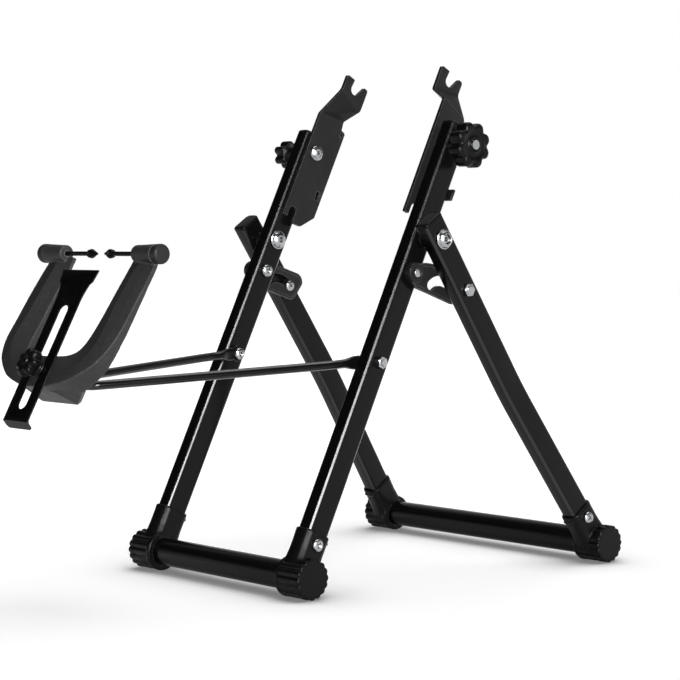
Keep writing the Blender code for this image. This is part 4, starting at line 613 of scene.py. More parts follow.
# %% [markdown]
# ### Tee feet
# A foot is one moulding: a ribbed barrel on the ground, a lobed disc at its outer end, a lipped
# collar round the crossbar, and a socket that flares down into the barrel. Moulded plastic has a
# fillet at every join. Overlapping closed forms, a voxel remesh and a little smoothing give those
# fillets everywhere at once, and the bores are cut afterwards so that their rims stay crisp.

# %% Forms that melt together into a foot
FOOT_RIBS = 16
SOCKET_FIT = (TUBE_WIDTH + 0.6, TUBE_DEPTH + 0.6, TUBE_CORNER + 0.2)


def ribbed_ring(x, radius, depth):
    ring = []
    for i in range(FOOT_RIBS * 12):
        around = math.tau * i / (FOOT_RIBS * 12)
        r = radius - depth + depth * abs(math.cos(FOOT_RIBS * around / 2)) ** 0.8
        ring.append((x, r * math.cos(around - math.pi / 2), r * math.sin(around - math.pi / 2)))
    return ring


def foot_barrel(bm, start, sign):
    end = start + FOOT_LENGTH
    stations = ((start, 17.4, 0.0), (start + 0.5, 18.1, 0.0), (start + 1.4, 18.5, 0.0),
                (start + 4.2, 18.3, 0.0), (start + 5.4, 18.3, 1.5), (end - 8.6, 18.2, 1.6),
                (end - 7.6, 18.2, 1.9), (end - 7.0, 18.5, 1.9), (end - 1.1, 18.5, 1.8),
                (end - 0.4, 18.1, 1.7), (end, 17.3, 1.4))
    loft([ribbed_ring(sign * x, radius, depth) for x, radius, depth in stations], bm=bm)


def foot_socket(bm, middle, low, to_axle):
    """The flared socket with its bead, drawn up the leg and moved into the barrel's frame."""
    rows = ((-4, 24.0, 31.5, 9.0), (10, 24.0, 31.5, 9.0), (17, 22.6, 31.0, 8.8), (24, 21.6, 30.4, 8.4),
            (35, 21.4, 30.3, 8.0), (39.2, 21.6, 30.6, 8.0), (40.8, 21.5, 30.5, 7.9), (41.8, 20.4, 29.4, 7.2))
    rings = sections([(low + row[0], *row[1:]) for row in rows], middle, 9)
    loft([[to_axle @ p for p in ring] for ring in rings], bm=bm)
    lip = [(0.0, 1.6), (1.3, 1.3), (1.9, 0.0), (1.3, -1.3), (0.0, -1.6)]
    back = 1 if to_axle.col[2].y > 0 else -1
    loft([[to_axle @ Vector((middle + x, back * (14.6 + dy), low + 36.8 + dz)) for dy, dz in lip]
          for x in (-6.0, -5.4, 5.4, 6.0)], bm=bm)


def tee_foot(name, start, sign, middle, low, leg_frame, axle):
    to_axle = axle.inverted() @ leg_frame
    to_axle.translation /= MM
    bm = bmesh.new()
    foot_barrel(bm, start, sign)
    foot_socket(bm, middle, low, to_axle)
    foot = melt(mesh_object(name, bm), 0.55, 5)
    rings = sections([(low + z, *SOCKET_FIT) for z in (15.5, 46.8)], middle)
    cut(foot, loft([[to_axle @ p for p in ring] for ring in rings]))
    drill(foot, 13.3, (sign * (start - 3), sign * (start + BAR_INSERT + 0.3)), steps=96)
    return settle(foot, 48.0)


SPLAYS = {}
for side, s in SIDES:
    foot = tee_foot(f"front_tee_{side}", front_foot_start, s, s * FRONT_MIDDLE, -FRONT_LENGTH, FRONT_LEG,
                    FRONT_AXLE)
    place_piece(foot, FRONT_AXLE, "front_frame", f"foot_front_{side}", moulded_black)
    SPLAYS[side] = REAR_LEG @ at(s * REAR_MIDDLE, 0, -SPLAY_START) @ Matrix.Rotation(-s * SPLAY, 4, "Y")
    foot = tee_foot(f"rear_tee_{side}", rear_foot_start, s, 0.0, -REAR_LENGTH, SPLAYS[side], REAR_AXLE)
    place_piece(foot, REAR_AXLE, "rear_frame", f"foot_rear_{side}", moulded_black)
    print("foot", side, "faces:", len(foot.data.polygons))

# %% [markdown]
# ## Screws and bolts
# These fasteners are the only bright things on a black stand, so each kind keeps its own head: pan
# heads with a cross recess hold the feet, stays and rod, low domes with a hex socket close the
# pivots, hex nuts hold the rod, and the dropout screws have dished domes. Recesses are cut, not
# painted.

# %% Recesses, threads and pan heads
def cross_recess(depth, width, reach, along, outward):
    """A cross-shaped cutter that narrows inward, from a face at `along`."""
    bm = bmesh.new()
    for turn in (0.0, math.pi / 2):
        across, up = math.cos(turn), math.sin(turn)
        rings = []
        for x, w, r in ((along + outward * 0.6, width * 1.05, reach * 1.05),
                        (along - outward * depth, width * 0.6, reach * 0.25)):
            bar = [(-r, -w / 2), (r, -w / 2), (r, w / 2), (-r, w / 2)]
            rings.append([(x, y * across - z * up, y * up + z * across) for y, z in bar])
        loft(rings, bm=bm)
    return melt(mesh_object("cross", bm), 0.14)


def hex_socket(radius, along, depth, outward):
    return prism(circle(radius, 6), *sorted((along + outward, along - outward * depth)))


def threaded(radius, low, high, pitch, depth=0.45, steps=36, rows_per_turn=8):
    """A true helical thread, tapered away at both ends."""
    rows = max(2, int(abs(high - low) / pitch * rows_per_turn))
    rings = []
    for row in range(rows + 1):
        x = low + (high - low) * row / rows
        fade = min(1.0, abs(x - low) / pitch, abs(high - x) / pitch)
        ring = []
        for i in range(steps):
            turn = (abs(x - low) / pitch - i / steps) % 1.0
            r = radius - depth * fade * abs(2 * turn - 1) - (1 - fade) * 0.25
            ring.append((x, r * math.cos(math.tau * i / steps), r * math.sin(math.tau * i / steps)))
        rings.append(ring)
    return loft(rings)


def pan_head(name, face, shank_radius, shank_end, radius, height, outward):
    """A crossed pan head standing on a face at x = face, its shank running the other way."""
    top = face + outward * height
    outline = [(0, shank_end), (shank_radius, shank_end), (shank_radius, face), (radius * 0.97, face),
               (radius, face + outward * height * 0.45), (radius * 0.86, face + outward * height * 0.82),
               (radius * 0.5, face + outward * height * 0.98), (0, top)]
    screw = settle(mesh_object(name, turned(outline, ease=0.9, bends=5)))
    cut(screw, cross_recess(height * 0.62, radius * 0.26, radius * 0.62, top, outward))
    return settle(screw, 38.0)


print("a 1.5 mm pitch thread on 50 mm has", int(50 / 1.5), "turns")

# %% Foot screws and stay lock bolts
SEAT = 0.3
FOOT_SCREW_SEAT, FOOT_SCREW_RISE = 3.0, 31.0
for side, s in SIDES:
    for end, outside, leg, length in (("front", FRONT_OUTER, FRONT_LEG, FRONT_LENGTH),
                                      ("rear", TUBE_WIDTH / 2, SPLAYS[side], REAR_LENGTH)):
        face = outside + FOOT_SCREW_SEAT
        screw = pan_head(f"{end}_foot_pan_{side}", s * face, 2.4, s * (face - 6.8), 5.8, 2.9, s)
        where = leg @ at(0, 0, FOOT_SCREW_RISE - length)
        place_piece(screw, where, f"{end}_frame", f"foot_screw_{end}_{side}", zinc_plate)
    bolt = pan_head(f"lock_pan_{side}", s * (FRONT_INNER - SEAT), 3.0, s * (FRONT_OUTER + 9.0), 6.4, 4.0, -s)
    weld(bolt, turned([(0, 8.8), (4.2, 9.0), (4.0, 10.2), (0, 10.7)], FRONT_OUTER, s, 0.6, steps=48))
    where = FRONT_LEG @ at(0, 0, -LOCK_DROP)
    place_piece(settle(bolt, 38.0), where, "front_frame", f"lock_bolt_{side}", zinc_plate)
print("pan heads placed: 6")

# %% Pivot bolts, sleeve nuts and spacers
head, end = FRONT_INNER - SEAT, REAR_OUTER + SEAT + 3.1
gap = REAR_INNER - FRONT_OUTER - 2 * SEAT
bolt_outline = [(0, -5.2), (4.6, -5.1), (7.4, -3.6), (8.2, -1.5), (9.3, -1.4), (9.3, 0), (4.0, 0),
                (4.0, end - head), (0, end - head)]
nut_outline = [(6.6, 0), (9.3, 0), (9.3, 1.3), (8.2, 1.4), (7.4, 3.8), (5.4, 5.2), (4.6, 5.2),
               (PIVOT_BORE, 4.4), (PIVOT_BORE, 0)]
spacer_outline = [(6, 0), (8, 0), (8, 3.4), (7.5, 4.2), (7.5, gap - 4.2), (8, gap - 3.4), (8, gap),
                  (PIVOT_BORE, gap), (PIVOT_BORE, 0)]
for side, s in SIDES:
    bolt = settle(mesh_object(f"pivot_dome_{side}", turned(bolt_outline, head, s, 0.7, steps=72)))
    cut(bolt, hex_socket(2.6, s * end, 2.8, s))
    cut(bolt, hex_socket(3.3, s * (head - 5.2), 2.9, -s))
    nut = turned(nut_outline, REAR_OUTER + SEAT, s, 0.5, steps=72, ring=True)
    nut = mesh_object(f"pivot_sleeve_nut_{side}", nut)
    spacer = turned(spacer_outline, FRONT_OUTER + SEAT, s, 0.5, ring=True)
    spacer = mesh_object(f"pivot_collar_{side}", spacer)
    for piece, solid, finish in ((bolt, "pivot_bolt", zinc_plate), (nut, "pivot_nut", zinc_plate),
                                 (spacer, "pivot_spacer", moulded_black)):
        place_piece(settle(piece, 38.0), FRONT_LEG, "front_frame", f"{solid}_{side}", finish)
print("pivot bolt spans in mm:", round(end - head, 1))

# %% Stay bolts and their spacers
STAY_INNER, STAY_OUTER = FRONT_OUTER + 3.5, FRONT_OUTER + 6.5
gap = REAR_INNER - STAY_OUTER - 2 * SEAT
for side, s in SIDES:
    face = REAR_OUTER + SEAT
    bolt = pan_head(f"stay_pan_{side}", s * (STAY_INNER - SEAT), 3.0, s * (face + 3.9), 5.4, 2.9, -s)
    weld(bolt, soften_edges("hex", prism(circle(6.5, 6, phase=0.5), s * face, s * (face + 3.0)), 0.5))
    weld(bolt, turned([(0, 2.6), (4.6, 2.8), (4.3, 3.6), (3.2, 3.9), (0, 3.9)], face, s, 0.4, steps=48))
    where = REAR_LEG @ at(0, 0, -STAY_DROP)
    place_piece(settle(bolt, 35.0), where, "rear_frame", f"stay_bolt_{side}", zinc_plate)
    outline = [(5, 0), (6.2, 0), (6.2, gap), (BOLT_BORE, gap), (BOLT_BORE, 0)]
    spacer = turned(outline, STAY_OUTER + SEAT, s, 0.4, steps=56, ring=True)
    spacer = mesh_object(f"stay_collar_{side}", spacer)
    place_piece(settle(spacer, 38.0), where, "rear_frame", f"stay_spacer_{side}", moulded_black)

# %% Rod bolts and hex nuts
ROD_NUT, ROD_BOLT_TAIL, ROD_EYE = 5.6, 1.6, 4.2
where = FRONT_LEG @ at(0, 0, -ROD_DROP)
for side, s in SIDES:
    head, face = FRONT_INNER - 2 * SEAT - ROD_EYE, FRONT_OUTER + SEAT
    bolt = pan_head(f"rod_pan_{side}", s * head, 3.0, s * (FRONT_OUTER - 2), 5.8, 4.4, -s)
    weld(bolt, threaded(3.0, s * (FRONT_OUTER - 3), s * (face + ROD_NUT + ROD_BOLT_TAIL), 1.0, 0.35))
    place_piece(settle(bolt, 35.0), where, "front_frame", f"gauge_bolt_{side}", zinc_plate)
    nut = soften_edges(f"rod_nut_{side}", prism(circle(5.8, 6), s * face, s * (face + ROD_NUT)), 0.45)
    chamfer = turned([(0, -1), (5.5, -1), (5.6, 4.8), (4.7, ROD_NUT), (0, ROD_NUT)], face, s)
    join_solid(nut, chamfer, "INTERSECT")
    drill(nut, BOLT_BORE, (s * (face - 2), s * (face + 8)))
    place_piece(settle(nut, 32.0), where, "front_frame", f"gauge_nut_{side}", zinc_plate)
print("rod bolt tail stands out by", ROD_BOLT_TAIL, "mm")

# %% [markdown]
# ## Dropouts
# ### Cranked plates
# Each dropout is one 3.5 mm sheet. Its wide lower part lies along the inside of the leg, and its fork
# is cranked 20 mm inward, so that a hub sits between the two open slots. The crank has two flat
# facets with a crease between them. It is steep at the right plate's front edge and gentle at its
# rear edge, and the left plate has it the other way round. The outline is filled flat, cut across
# every fold in narrow strips, and only then bent, so that the folds are rounded and the sheet keeps
# its thickness. A guide tab runs behind the leg, and a lug stands by the window.

# %% Flat sheets with holes
def filled(loops):
    bm = bmesh.new()
    edges = []
    for loop in loops:
        verts = [bm.verts.new((0.0, y, z)) for y, z in loop]
        edges += [bm.edges.new((a, b)) for a, b in zip(verts, verts[1:] + verts[:1])]
    bmesh.ops.triangle_fill(bm, use_beauty=True, use_dissolve=False, edges=edges, normal=(1, 0, 0))
    return bm


def thickened(bm, low, high):
    for vert in bm.verts:
        vert.co.x = low
    made = bmesh.ops.extrude_face_region(bm, geom=list(bm.faces))
    for item in made["geom"]:
        if isinstance(item, bmesh.types.BMVert):
            item.co.x = high
    return bm


# %% The dropout's outline and its folds
SHEET, PLATE_MID, CRANK = 3.5, 86.55, 19.8
CRANK_STEEP, CRANK_GENTLE = (143.0, 153.8), (137.2, 163.2)
FOLD_EASE, CREASE_EASE = 0.12, 0.05
PLATE_FRONT, FORK_FRONT, FORK_REAR, PLATE_REAR = -12.6, -11.6, 19.4, 26.5


def crank_folds(sign):
    """The lower fold, the upper fold and the crease between them, each by two points."""
    front, rear = (CRANK_STEEP, CRANK_GENTLE) if sign > 0 else (CRANK_GENTLE, CRANK_STEEP)
    front_low, front_high = (PLATE_FRONT, front[0]), (FORK_FRONT, front[1])
    rear_low, rear_high = (FORK_REAR, rear[0]), (FORK_REAR, rear[1])
    crease = (front_high, rear_low) if sign > 0 else (rear_high, front_low)
    return (front_low, rear_low), (front_high, rear_high), crease


def over_line(line, point):
    (n0, s0), (n1, s1) = line
    return point[1] - s0 - (s1 - s0) * (point[0] - n0) / (n1 - n0)


def eased_min(a, b, ease):
    """The smaller of two numbers, with the corner between them rounded off."""
    near = max(ease - abs(a - b), 0.0) / ease
    return min(a, b) - near * near * ease / 4


def facets(sign, point):
    """How far the two facets of the crank have climbed at a point, as shares of the whole step."""
    low, high, (steep_end, gentle_end) = crank_folds(sign)
    return (over_line(low, point) / over_line(low, steep_end),
            1 - over_line(high, point) / over_line(high, gentle_end))


def crank_shift(sign, point):
    """How far inboard the sheet lies at a point, with eased folds and a crisper crease."""
    climbed = eased_min(eased_min(*facets(sign, point), CREASE_EASE), 1.0, FOLD_EASE)
    return -CRANK * eased_min(-climbed, 0.0, FOLD_EASE)


def cut_sheet(bm, line, rise, faces=None):
    """Cuts the flat sheet along a line moved up the leg."""
    (n0, s0), (n1, s1) = line
    faces = list(bm.faces) if faces is None else faces
    parts = {item for face in faces for item in (face, *face.edges, *face.verts)}
    bmesh.ops.bisect_plane(bm, geom=list(parts), plane_co=(0, n0, s0 + rise),
                           plane_no=Vector((0, s0 - s1, n1 - n0)).normalized(), dist=1e-4)


def fold_cuts(bm, sign):
    """Gives the flat sheet the lines that its eased folds need."""
    low, high, crease = crank_folds(sign)
    steep_run, gentle_run = over_line(low, crease[0]), -over_line(high, crease[1])
    for line, run in ((low, steep_run), (high, gentle_run)):
        for k in range(-4, 5):
            cut_sheet(bm, line, FOLD_EASE * run * k / 4)
    crease_run = CREASE_EASE / (1 / steep_run - 1 / gentle_run)
    for k in range(-2, 3):
        middles = [(face, face.calc_center_median()) for face in bm.faces]
        inside = [face for face, mid in middles
                  if -FOLD_EASE < min(facets(sign, (mid.y, mid.z))) < 1 + FOLD_EASE]
        cut_sheet(bm, crease, crease_run * k / 2, inside)


def dropout_outline(sign):
    (front_low, rear_low), (front_high, rear_high), _ = crank_folds(sign)
    points = [(PLATE_FRONT, 23.5), front_low, front_high]
    points += arc((-9.6, 177.5), 2.0, 180, 90, 6) + [(-0.9, 179.1)]
    points += arc((3.7, 170.3), 5.5, 180, 330, 26)
    points += [(13.9, 178.1), (18.6, 177.7), (FORK_REAR, 175.5), rear_high, rear_low, (20.8, 133.9)]
    points += arc((23.9, 131.0), 2.6, 80, 0, 8)
    points += [(PLATE_REAR, 37.3), (13.7, 21.5), (4.5, 20.3), (2.0, 20.9)]
    points += arc((-2.5, 31.0), 4.5, 0, 180, 18) + [(-7.0, 23.5)]
    return rounded_corners(points, 1.1)


# %% Two dropouts
WINDOW = [(18.2, 54.45), (23.8, 54.45), (23.8, 63.95), (18.2, 63.95)]
TAB, LUG = (13.7, 16.5, 25.2, 53.2, 11.0), (22.4, 24.2, 7.0, 60.6, 11.2)
PLATE_OUTER_FACE = PLATE_MID + SHEET / 2
for side, s in SIDES:
    flat = filled([dropout_outline(s), circle(KNOB_BORE, 48, (0, KNOB_RISE)), rounded_corners(WINDOW, 0.6)])
    fold_cuts(flat, s)
    thickened(flat, -SHEET / 2, SHEET / 2)
    for vert in flat.verts:
        vert.co.x += s * (PLATE_MID - crank_shift(s, (vert.co.y, vert.co.z)))
    plate = soften_edges(f"dropout_sheet_{side}", flat, 0.45, limit=40.0)
    for near, far, length, middle, height in (TAB, LUG):
        x0, x1 = sorted((s * (PLATE_OUTER_FACE - 2.45), s * (PLATE_OUTER_FACE + length)))
        box = [[(x, y, z) for x, y in ((x0, near), (x1, near), (x1, far), (x0, far))]
               for z in (middle - height / 2, middle + height / 2)]
        weld(plate, soften_edges("box", loft(box), 0.5))
    inner_face = PLATE_MID - SHEET / 2
    drill(plate, 2.1, (s * (inner_face - 1), s * (inner_face + 2.4)), y=22.3, z=129.2)
    place_piece(settle(plate, 33.0), FRONT_LEG, f"dropout_{side}", f"dropout_plate_{side}", pressed_sheet)
    print("dropout", side, "faces:", len(plate.data.polygons))

# %% [markdown]
# ### Dropout screws and star knobs
# A domed screw is fixed in each plate and passes through the leg, and a moulded star knob on its end
# draws the plate in or out. The thread is real geometry, because it shows in the gap between plate
# and leg. The knobs are lofted from lobed rings: a tapered neck, a soft lower rim, a waist that
# fingers grip, and, where the face has room, a dish with a raised ring round the screw.

# %% Threaded screws with dished domes
KNOB_START, KNOB_NECK, KNOB_STAR = 110.8, 10.4, 15.0
head, tip = 84.5, KNOB_START + KNOB_NECK + KNOB_STAR + 1.4
where = FRONT_LEG @ at(0, 0, KNOB_RISE)
stud_outline = [(0, -4.6), (4.4, -4.2), (7.4, -2.2), (8.0, -0.9), (8.0, 0), (4.2, 0), (4.2, 7), (0, 7)]
for side, s in SIDES:
    screw = settle(mesh_object(f"dropout_stud_{side}", turned(stud_outline, head, s, 0.8, 6, 72)))
    drill(screw, 4.3, (s * (head - 6), s * (head - 3.4)))
    cut(screw, hex_socket(2.4, s * (head - 3.4), 1.6, -s))
    weld(screw, threaded(4.6, s * (head + 3.7), s * tip, 1.5))
    place_piece(settle(screw, 35.0), where, f"dropout_{side}", f"dropout_screw_{side}", zinc_plate)
print("thread pitch 1.5 mm, tip at x =", round(tip, 1))


# %% Star knobs
def star_knob(name, start, s, neck_radius, neck, star, radius, lobes, depth, bore, hub):
    """A moulded knob along X, with a bore, and a dished face where there is room for one."""
    rim, top = start + neck, start + neck + star

    def ring(x, size, wave_depth=0.0):
        points = []
        for i in range(lobes * 20):
            turn = math.tau * i / (lobes * 20)
            r = size + wave_depth * (math.cos(lobes * turn) - 0.18 * math.cos(2 * lobes * turn))
            points.append((s * x, r * math.cos(turn), r * math.sin(turn)))
        return points

    collar = [(start, neck_radius - 0.6), (start + 0.4, neck_radius),
              (start + neck * 0.55, neck_radius * 0.94), (start + neck * 0.86, neck_radius * 1.05),
              (rim - 0.1, neck_radius * 1.32)]
    lobed = [(rim + 0.1, 3.2), (rim + 0.7, 1.1), (rim + 1.6, 0.25), (rim + 2.6, 0.0), (top - 3.2, 0.0),
             (top - 2.0, 0.25), (top - 1.1, 0.9), (top - 0.45, 1.9), (top - 0.1, 3.0), (top, 4.0)]
    face = [(top, bore + 0.5), (top - 0.5, bore), (start, bore)]
    inner = radius - 2 * depth - 4.6
    if inner > hub + 1.6:
        face = [(top - 0.05, inner), (top - 0.5, inner - 0.6), (top - 0.7, hub + 1.0), (top - 0.5, hub + 0.4),
                (top - 0.05, hub)] + face
    rings = [ring(x, r) for x, r in collar] + [ring(x, radius - depth - less, depth) for x, less in lobed]
    return settle(mesh_object(name, loft(rings + [ring(x, r) for x, r in face], wrap=True)), 50.0)


for side, s, neck_radius, radius, lobes, depth, hub in (("left", -1, 9.0, 14.3, 6, 2.1, 6.4),
                                                        ("right", 1, 11.0, 22.0, 8, 1.9, 8.0)):
    knob = star_knob(f"star_knob_{side}", KNOB_START, s, neck_radius, KNOB_NECK, KNOB_STAR, radius, lobes,
                     depth, KNOB_BORE, hub)
    place_piece(knob, where, f"knob_{side}", f"dropout_knob_{side}", moulded_black)
print("star knobs: 6 lobes on the left, 8 on the right")

# %% [markdown]
# ### Slotted stays
# A stay turns on the front leg and lets the rear leg's bolt run along a curved slot as the stand
# folds. The slot follows the model's own path of the bolt, so it is worked out from the fold and
# not drawn by eye. The pressing has a raised rim around its edge and a round boss at the fixed bolt.

# %% The bolt's path, and the slot around it
STAY_RATIO, FOLD_TRAVEL = 1.30, math.radians(55.0)


def bolt_from_lock(spread):
    """How far the rear leg's bolt lies down and out from the lock bolt."""
    return STAY_DROP * math.cos(spread) - LOCK_DROP, STAY_DROP * math.sin(spread)


def bolt_in_stay(fold):
    down, out = bolt_from_lock(FRONT_LEAN + REAR_LEAN - fold)
    down0, out0 = bolt_from_lock(FRONT_LEAN + REAR_LEAN)
    turn = math.atan2(out, down) - (math.atan2(out0, down0) - STAY_RATIO * fold)
    return math.hypot(down, out) * math.cos(turn), math.hypot(down, out) * math.sin(turn)


def slot_around(path, half, steps=14):
    sides = []
    for i, p in enumerate(path):
        a, b = Vector(path[max(i - 1, 0)]), Vector(path[min(i + 1, len(path) - 1)])
        way = (b - a).normalized()
        sides.append((p, (-way.y, way.x)))
    left = [(p[0] + half * n[0], p[1] + half * n[1]) for p, n in sides]
    right = [(p[0] - half * n[0], p[1] - half * n[1]) for p, n in sides]
    last = math.degrees(math.atan2(-sides[-1][1][0], sides[-1][1][1])) + 90
    first = math.degrees(math.atan2(-sides[0][1][0], sides[0][1][1])) - 90
    return (left + arc(path[-1], half, last, last - 180, steps)[1:-1] + right[::-1]
            + arc(path[0], half, first, first - 180, steps)[1:-1])


def stay_outline(inset=0.0):
    end = path_of_bolt[-1][0] + 15.4
    low, high = 13.0 - inset, 15.5 - inset
    return (arc((0, 0), 9.5 - inset, 150, 236, 12) + [(5.89 + inset * 0.3, -low)]
            + arc((end - 12, -4.0), 9 - inset, 270, 330, 8) + arc((end - 9, 5.5), 10 - inset, 10, 90, 10)
            + [(18.05, high - 0.8), (10.45 + inset * 0.3, high - 2.4)])


path_of_bolt = [bolt_in_stay(FOLD_TRAVEL * (1 - i / 28)) for i in range(29)]
RIM_STEP, BOSS_TOP = 0.25, 8.4
boss_outline = [(0, 0), (9.2, 0), (9.5, 1.0), (9.5, BOSS_TOP - 1.6), (8.4, BOSS_TOP), (6.4, BOSS_TOP),
                (5.8, BOSS_TOP - 0.7), (0, BOSS_TOP - 0.7)]
for side, s in SIDES:
    low, high = sorted((s * STAY_INNER, s * STAY_OUTER))
    pressing = thickened(filled([stay_outline(), slot_around(path_of_bolt, 4.6)]), low, high)
    stay = soften_edges(f"stay_pressing_{side}", pressing, 0.4)
    for face, step in ((low, -RIM_STEP), (high, RIM_STEP)):
        rim = thickened(filled([stay_outline(0.5), rounded_corners(stay_outline(2.9), 1.0)]),
                        *sorted((face - step * 0.5, face + step)))
        weld(stay, soften_edges("rim", rim, 0.25, 2))
    inner = FRONT_OUTER + SEAT
    weld(stay, turned(boss_outline, inner, s, 0.6, steps=72))
    drill(stay, BOLT_BORE, (s * (inner - 2), s * (inner + BOSS_TOP + 3)))
    place_piece(settle(stay, 33.0), STAY, f"stay_arm_{side}", f"stay_{side}", pressed_sheet)
print("slot length in mm:", round(path_of_bolt[-1][0] - path_of_bolt[0][0] + 9.2, 1))

# %% [markdown]
# ## Gauge
# ### The bent rod
# One 8 mm rod swings on the front legs and carries the yoke. Its sides run inward to a short cross
# portion, with a soft kink near each leg and a tight bend at each front corner, and its ends are
# pressed flat into eyes. A tube swept along a smooth path gives the bends, and its last rings are
# flattened step by step, which is how the metal itself is formed.

# %% Rod path and pressed ends
ROD_RADIUS, ROD_REACH, ROD_SIDE = 4.0, 260.4, FRONT_INNER - 6.0
CROSS_HALF, ROD_BEND, KINK, KINK_REACH = 25.0, 9.0, 36.0, 7.0
lean = math.atan2(ROD_SIDE - CROSS_HALF - ROD_BEND, ROD_REACH - KINK - ROD_BEND)
for _ in range(20):
    lean = math.atan2(ROD_SIDE - CROSS_HALF - ROD_BEND * math.cos(lean),
                      ROD_REACH - KINK - ROD_BEND * (1 - math.sin(lean)))

half_rod = [(x, -ROD_REACH) for x in (0.0, 8.0, 16.0, CROSS_HALF)]
for i in range(1, 17):
    turn = (math.pi / 2 - lean) * i / 16
    half_rod.append((CROSS_HALF + ROD_BEND * math.sin(turn), -ROD_REACH + ROD_BEND * (1 - math.cos(turn))))
kink = Vector((ROD_SIDE, -KINK))
before_kink = kink - Vector((math.sin(lean), math.cos(lean)))
half_rod += [tuple(p) for p in corner_curve(before_kink, kink, Vector((ROD_SIDE, 0)), KINK_REACH, 8)]
half_rod += [(ROD_SIDE, y) for y in (-26.0, -22.0, -18.5, -15.0, -12.0, -9.0, -6.0)]


def rod_mesh():
    path = [(-x, y) for x, y in reversed(half_rod[1:])] + half_rod
    rings = []
    for i, (x, y) in enumerate(path):
        a, b = Vector(path[max(i - 1, 0)]), Vector(path[min(i + 1, len(path) - 1)])
        way = (b - a).normalized()
        across, up = Vector((way.y, -way.x, 0)), Vector((0, 0, 1))
        press = min(max((y + 24) / 12, 0.0), 1.0)
        press = press * press * (3 - 2 * press)
        wide, thin = ROD_RADIUS * (1 + 0.55 * press), ROD_RADIUS * (1 - 0.48 * press)
        shift = math.copysign(1.7 * press, x) if abs(x) > 1e-6 else 0.0
        rings.append([Vector((x + shift, y, 0)) + thin * c * across + wide * d * up
                      for c, d in circle(1, 28)])
    return mesh_object("bent_rod", loft(rings))


rod = rod_mesh()
for side, s in SIDES:
    outer = FRONT_INNER - SEAT
    weld(rod, turned([(0, -ROD_EYE), (8.0, -ROD_EYE), (8.0, 0), (0, 0)], outer, s, 1.0, 6))
    drill(rod, BOLT_BORE, (s * (outer - 12), s * (outer + 3)))
place_piece(settle(rod, 40.0), ROD, "gauge_arm", "gauge_bar", powder_coat)
print("rod sides lean in by", round(math.degrees(lean), 2), "degrees")

# %% [markdown]
# ### The yoke
# The yoke is a plastic U whose arms have a long ridge down the front, with a broad block behind its
# base that grips the rod, and a round boss at each tip. Its section changes all the way round, so it
# is drawn at twelve stations per side, and a smooth curve through the stations fills in the rest.
# The block and bosses overlap the U, and one voxel remesh melts them into a single moulding.

# %% Stations of the U, from the arm's tip to the middle of the base
SEAT_P, AXIS_P, AXIS_Q = 33.7, 22.9, 114.0
STATIONS = [
    ((45.0, 112.5), (61.2, 112.5), (76.6, 112.5), 22.5, 20.0, 15.5),
    ((43.8, 102.0), (60.7, 102.0), (79.2, 102.0), 24.2, 20.3, 16.5),
    ((43.4, 86.0), (60.1, 86.0), (80.2, 86.0), 26.2, 21.9, 17.7),
    ((43.0, 65.0), (60.3, 65.0), (80.6, 65.0), 28.4, 24.0, 18.3),
    ((42.2, 45.6), (61.7, 44.6), (80.6, 44.6), 30.2, 25.8, 18.9),
    ((41.2, 30.6), (62.7, 29.6), (79.6, 29.6), 31.8, 27.9, 19.3),
    ((39.0, 21.6), (61.1, 20.6), (76.4, 18.6), 32.6, 29.3, 18.3),
    ((35.0, 16.2), (56.3, 12.2), (69.6, 7.2), 33.0, 30.7, 16.3),
    ((28.0, 12.8), (47.3, 3.0), (57.0, -3.2), 33.4, 32.3, 13.7),
    ((19.0, 11.2), (34.7, -5.0), (42.6, -11.2), 33.7, 33.3, 11.7),
    ((9.0, 10.7), (16.7, -12.8), (21.6, -16.6), 33.7, 33.5, 9.7),
    ((0.0, 10.6), (0.0, -14.6), (0.0, -18.2), 33.7, 33.5, 8.7)]


def station_ring(row, sign):
    """Ten points round the section, one close on each side of the ridge so that it stays firm."""
    (ix, iq), (rx, rq), (ox, oq), ridge, edge, rear = row
    inner_edge = ridge if ridge >= SEAT_P - 1e-6 else edge - 1.2 * min(1.0, (SEAT_P - ridge) / 1.5)

    def between(a, b, t):
        return a + (b - a) * t
    points = [(ix, inner_edge, iq),
              (between(ix, rx, 0.5), between(inner_edge, ridge, 0.5) - 0.15, between(iq, rq, 0.5)),
              (between(ix, rx, 0.94), between(inner_edge, ridge, 0.96), between(iq, rq, 0.94)),
              (rx, ridge, rq),
              (between(rx, ox, 0.06), between(ridge, edge, 0.05), between(rq, oq, 0.06)),
              (between(rx, ox, 0.55), between(ridge, edge, 0.5) + 0.25, between(rq, oq, 0.55)),
              (ox, edge, oq), (ox, rear, oq), (rx, rear - 0.4, rq), (ix, rear, iq)]
    return [Vector((sign * x, -p, q)) for x, p, q in points]


def smooth_through(rings, steps=5):
    """A Catmull-Rom curve through the matching points of all the rings."""
    made = []
    for i in range(len(rings) - 1):
        quad = [rings[max(i - 1, 0)], rings[i], rings[i + 1], rings[min(i + 2, len(rings) - 1)]]
        for t in (k / steps for k in range(steps)):
            made.append([0.5 * (2 * b + (c - a) * t + (2 * a - 5 * b + 4 * c - d) * t * t
                                + (3 * b - a - 3 * c + d) * t ** 3) for a, b, c, d in zip(*quad)])
    return made + [rings[-1]]


u_rings = smooth_through([station_ring(row, 1) for row in STATIONS]
                         + [station_ring(row, -1) for row in reversed(STATIONS[:-1])])
print("sections round the U:", len(u_rings))

# %% The block behind the base, the bosses, and the bores
BLOCK_CORNERS = ((61, -24, 9.2), (56, -24, -2.0), (41, -24, -11.4), (20, -24, -17.8), (30, -24, 10.0),
                 (26.5, -1, 9.2), (26.5, -1, -18.6), (16, 8, 7.5), (16, 8, -12.5))
CLAMP_DROP = 1.5


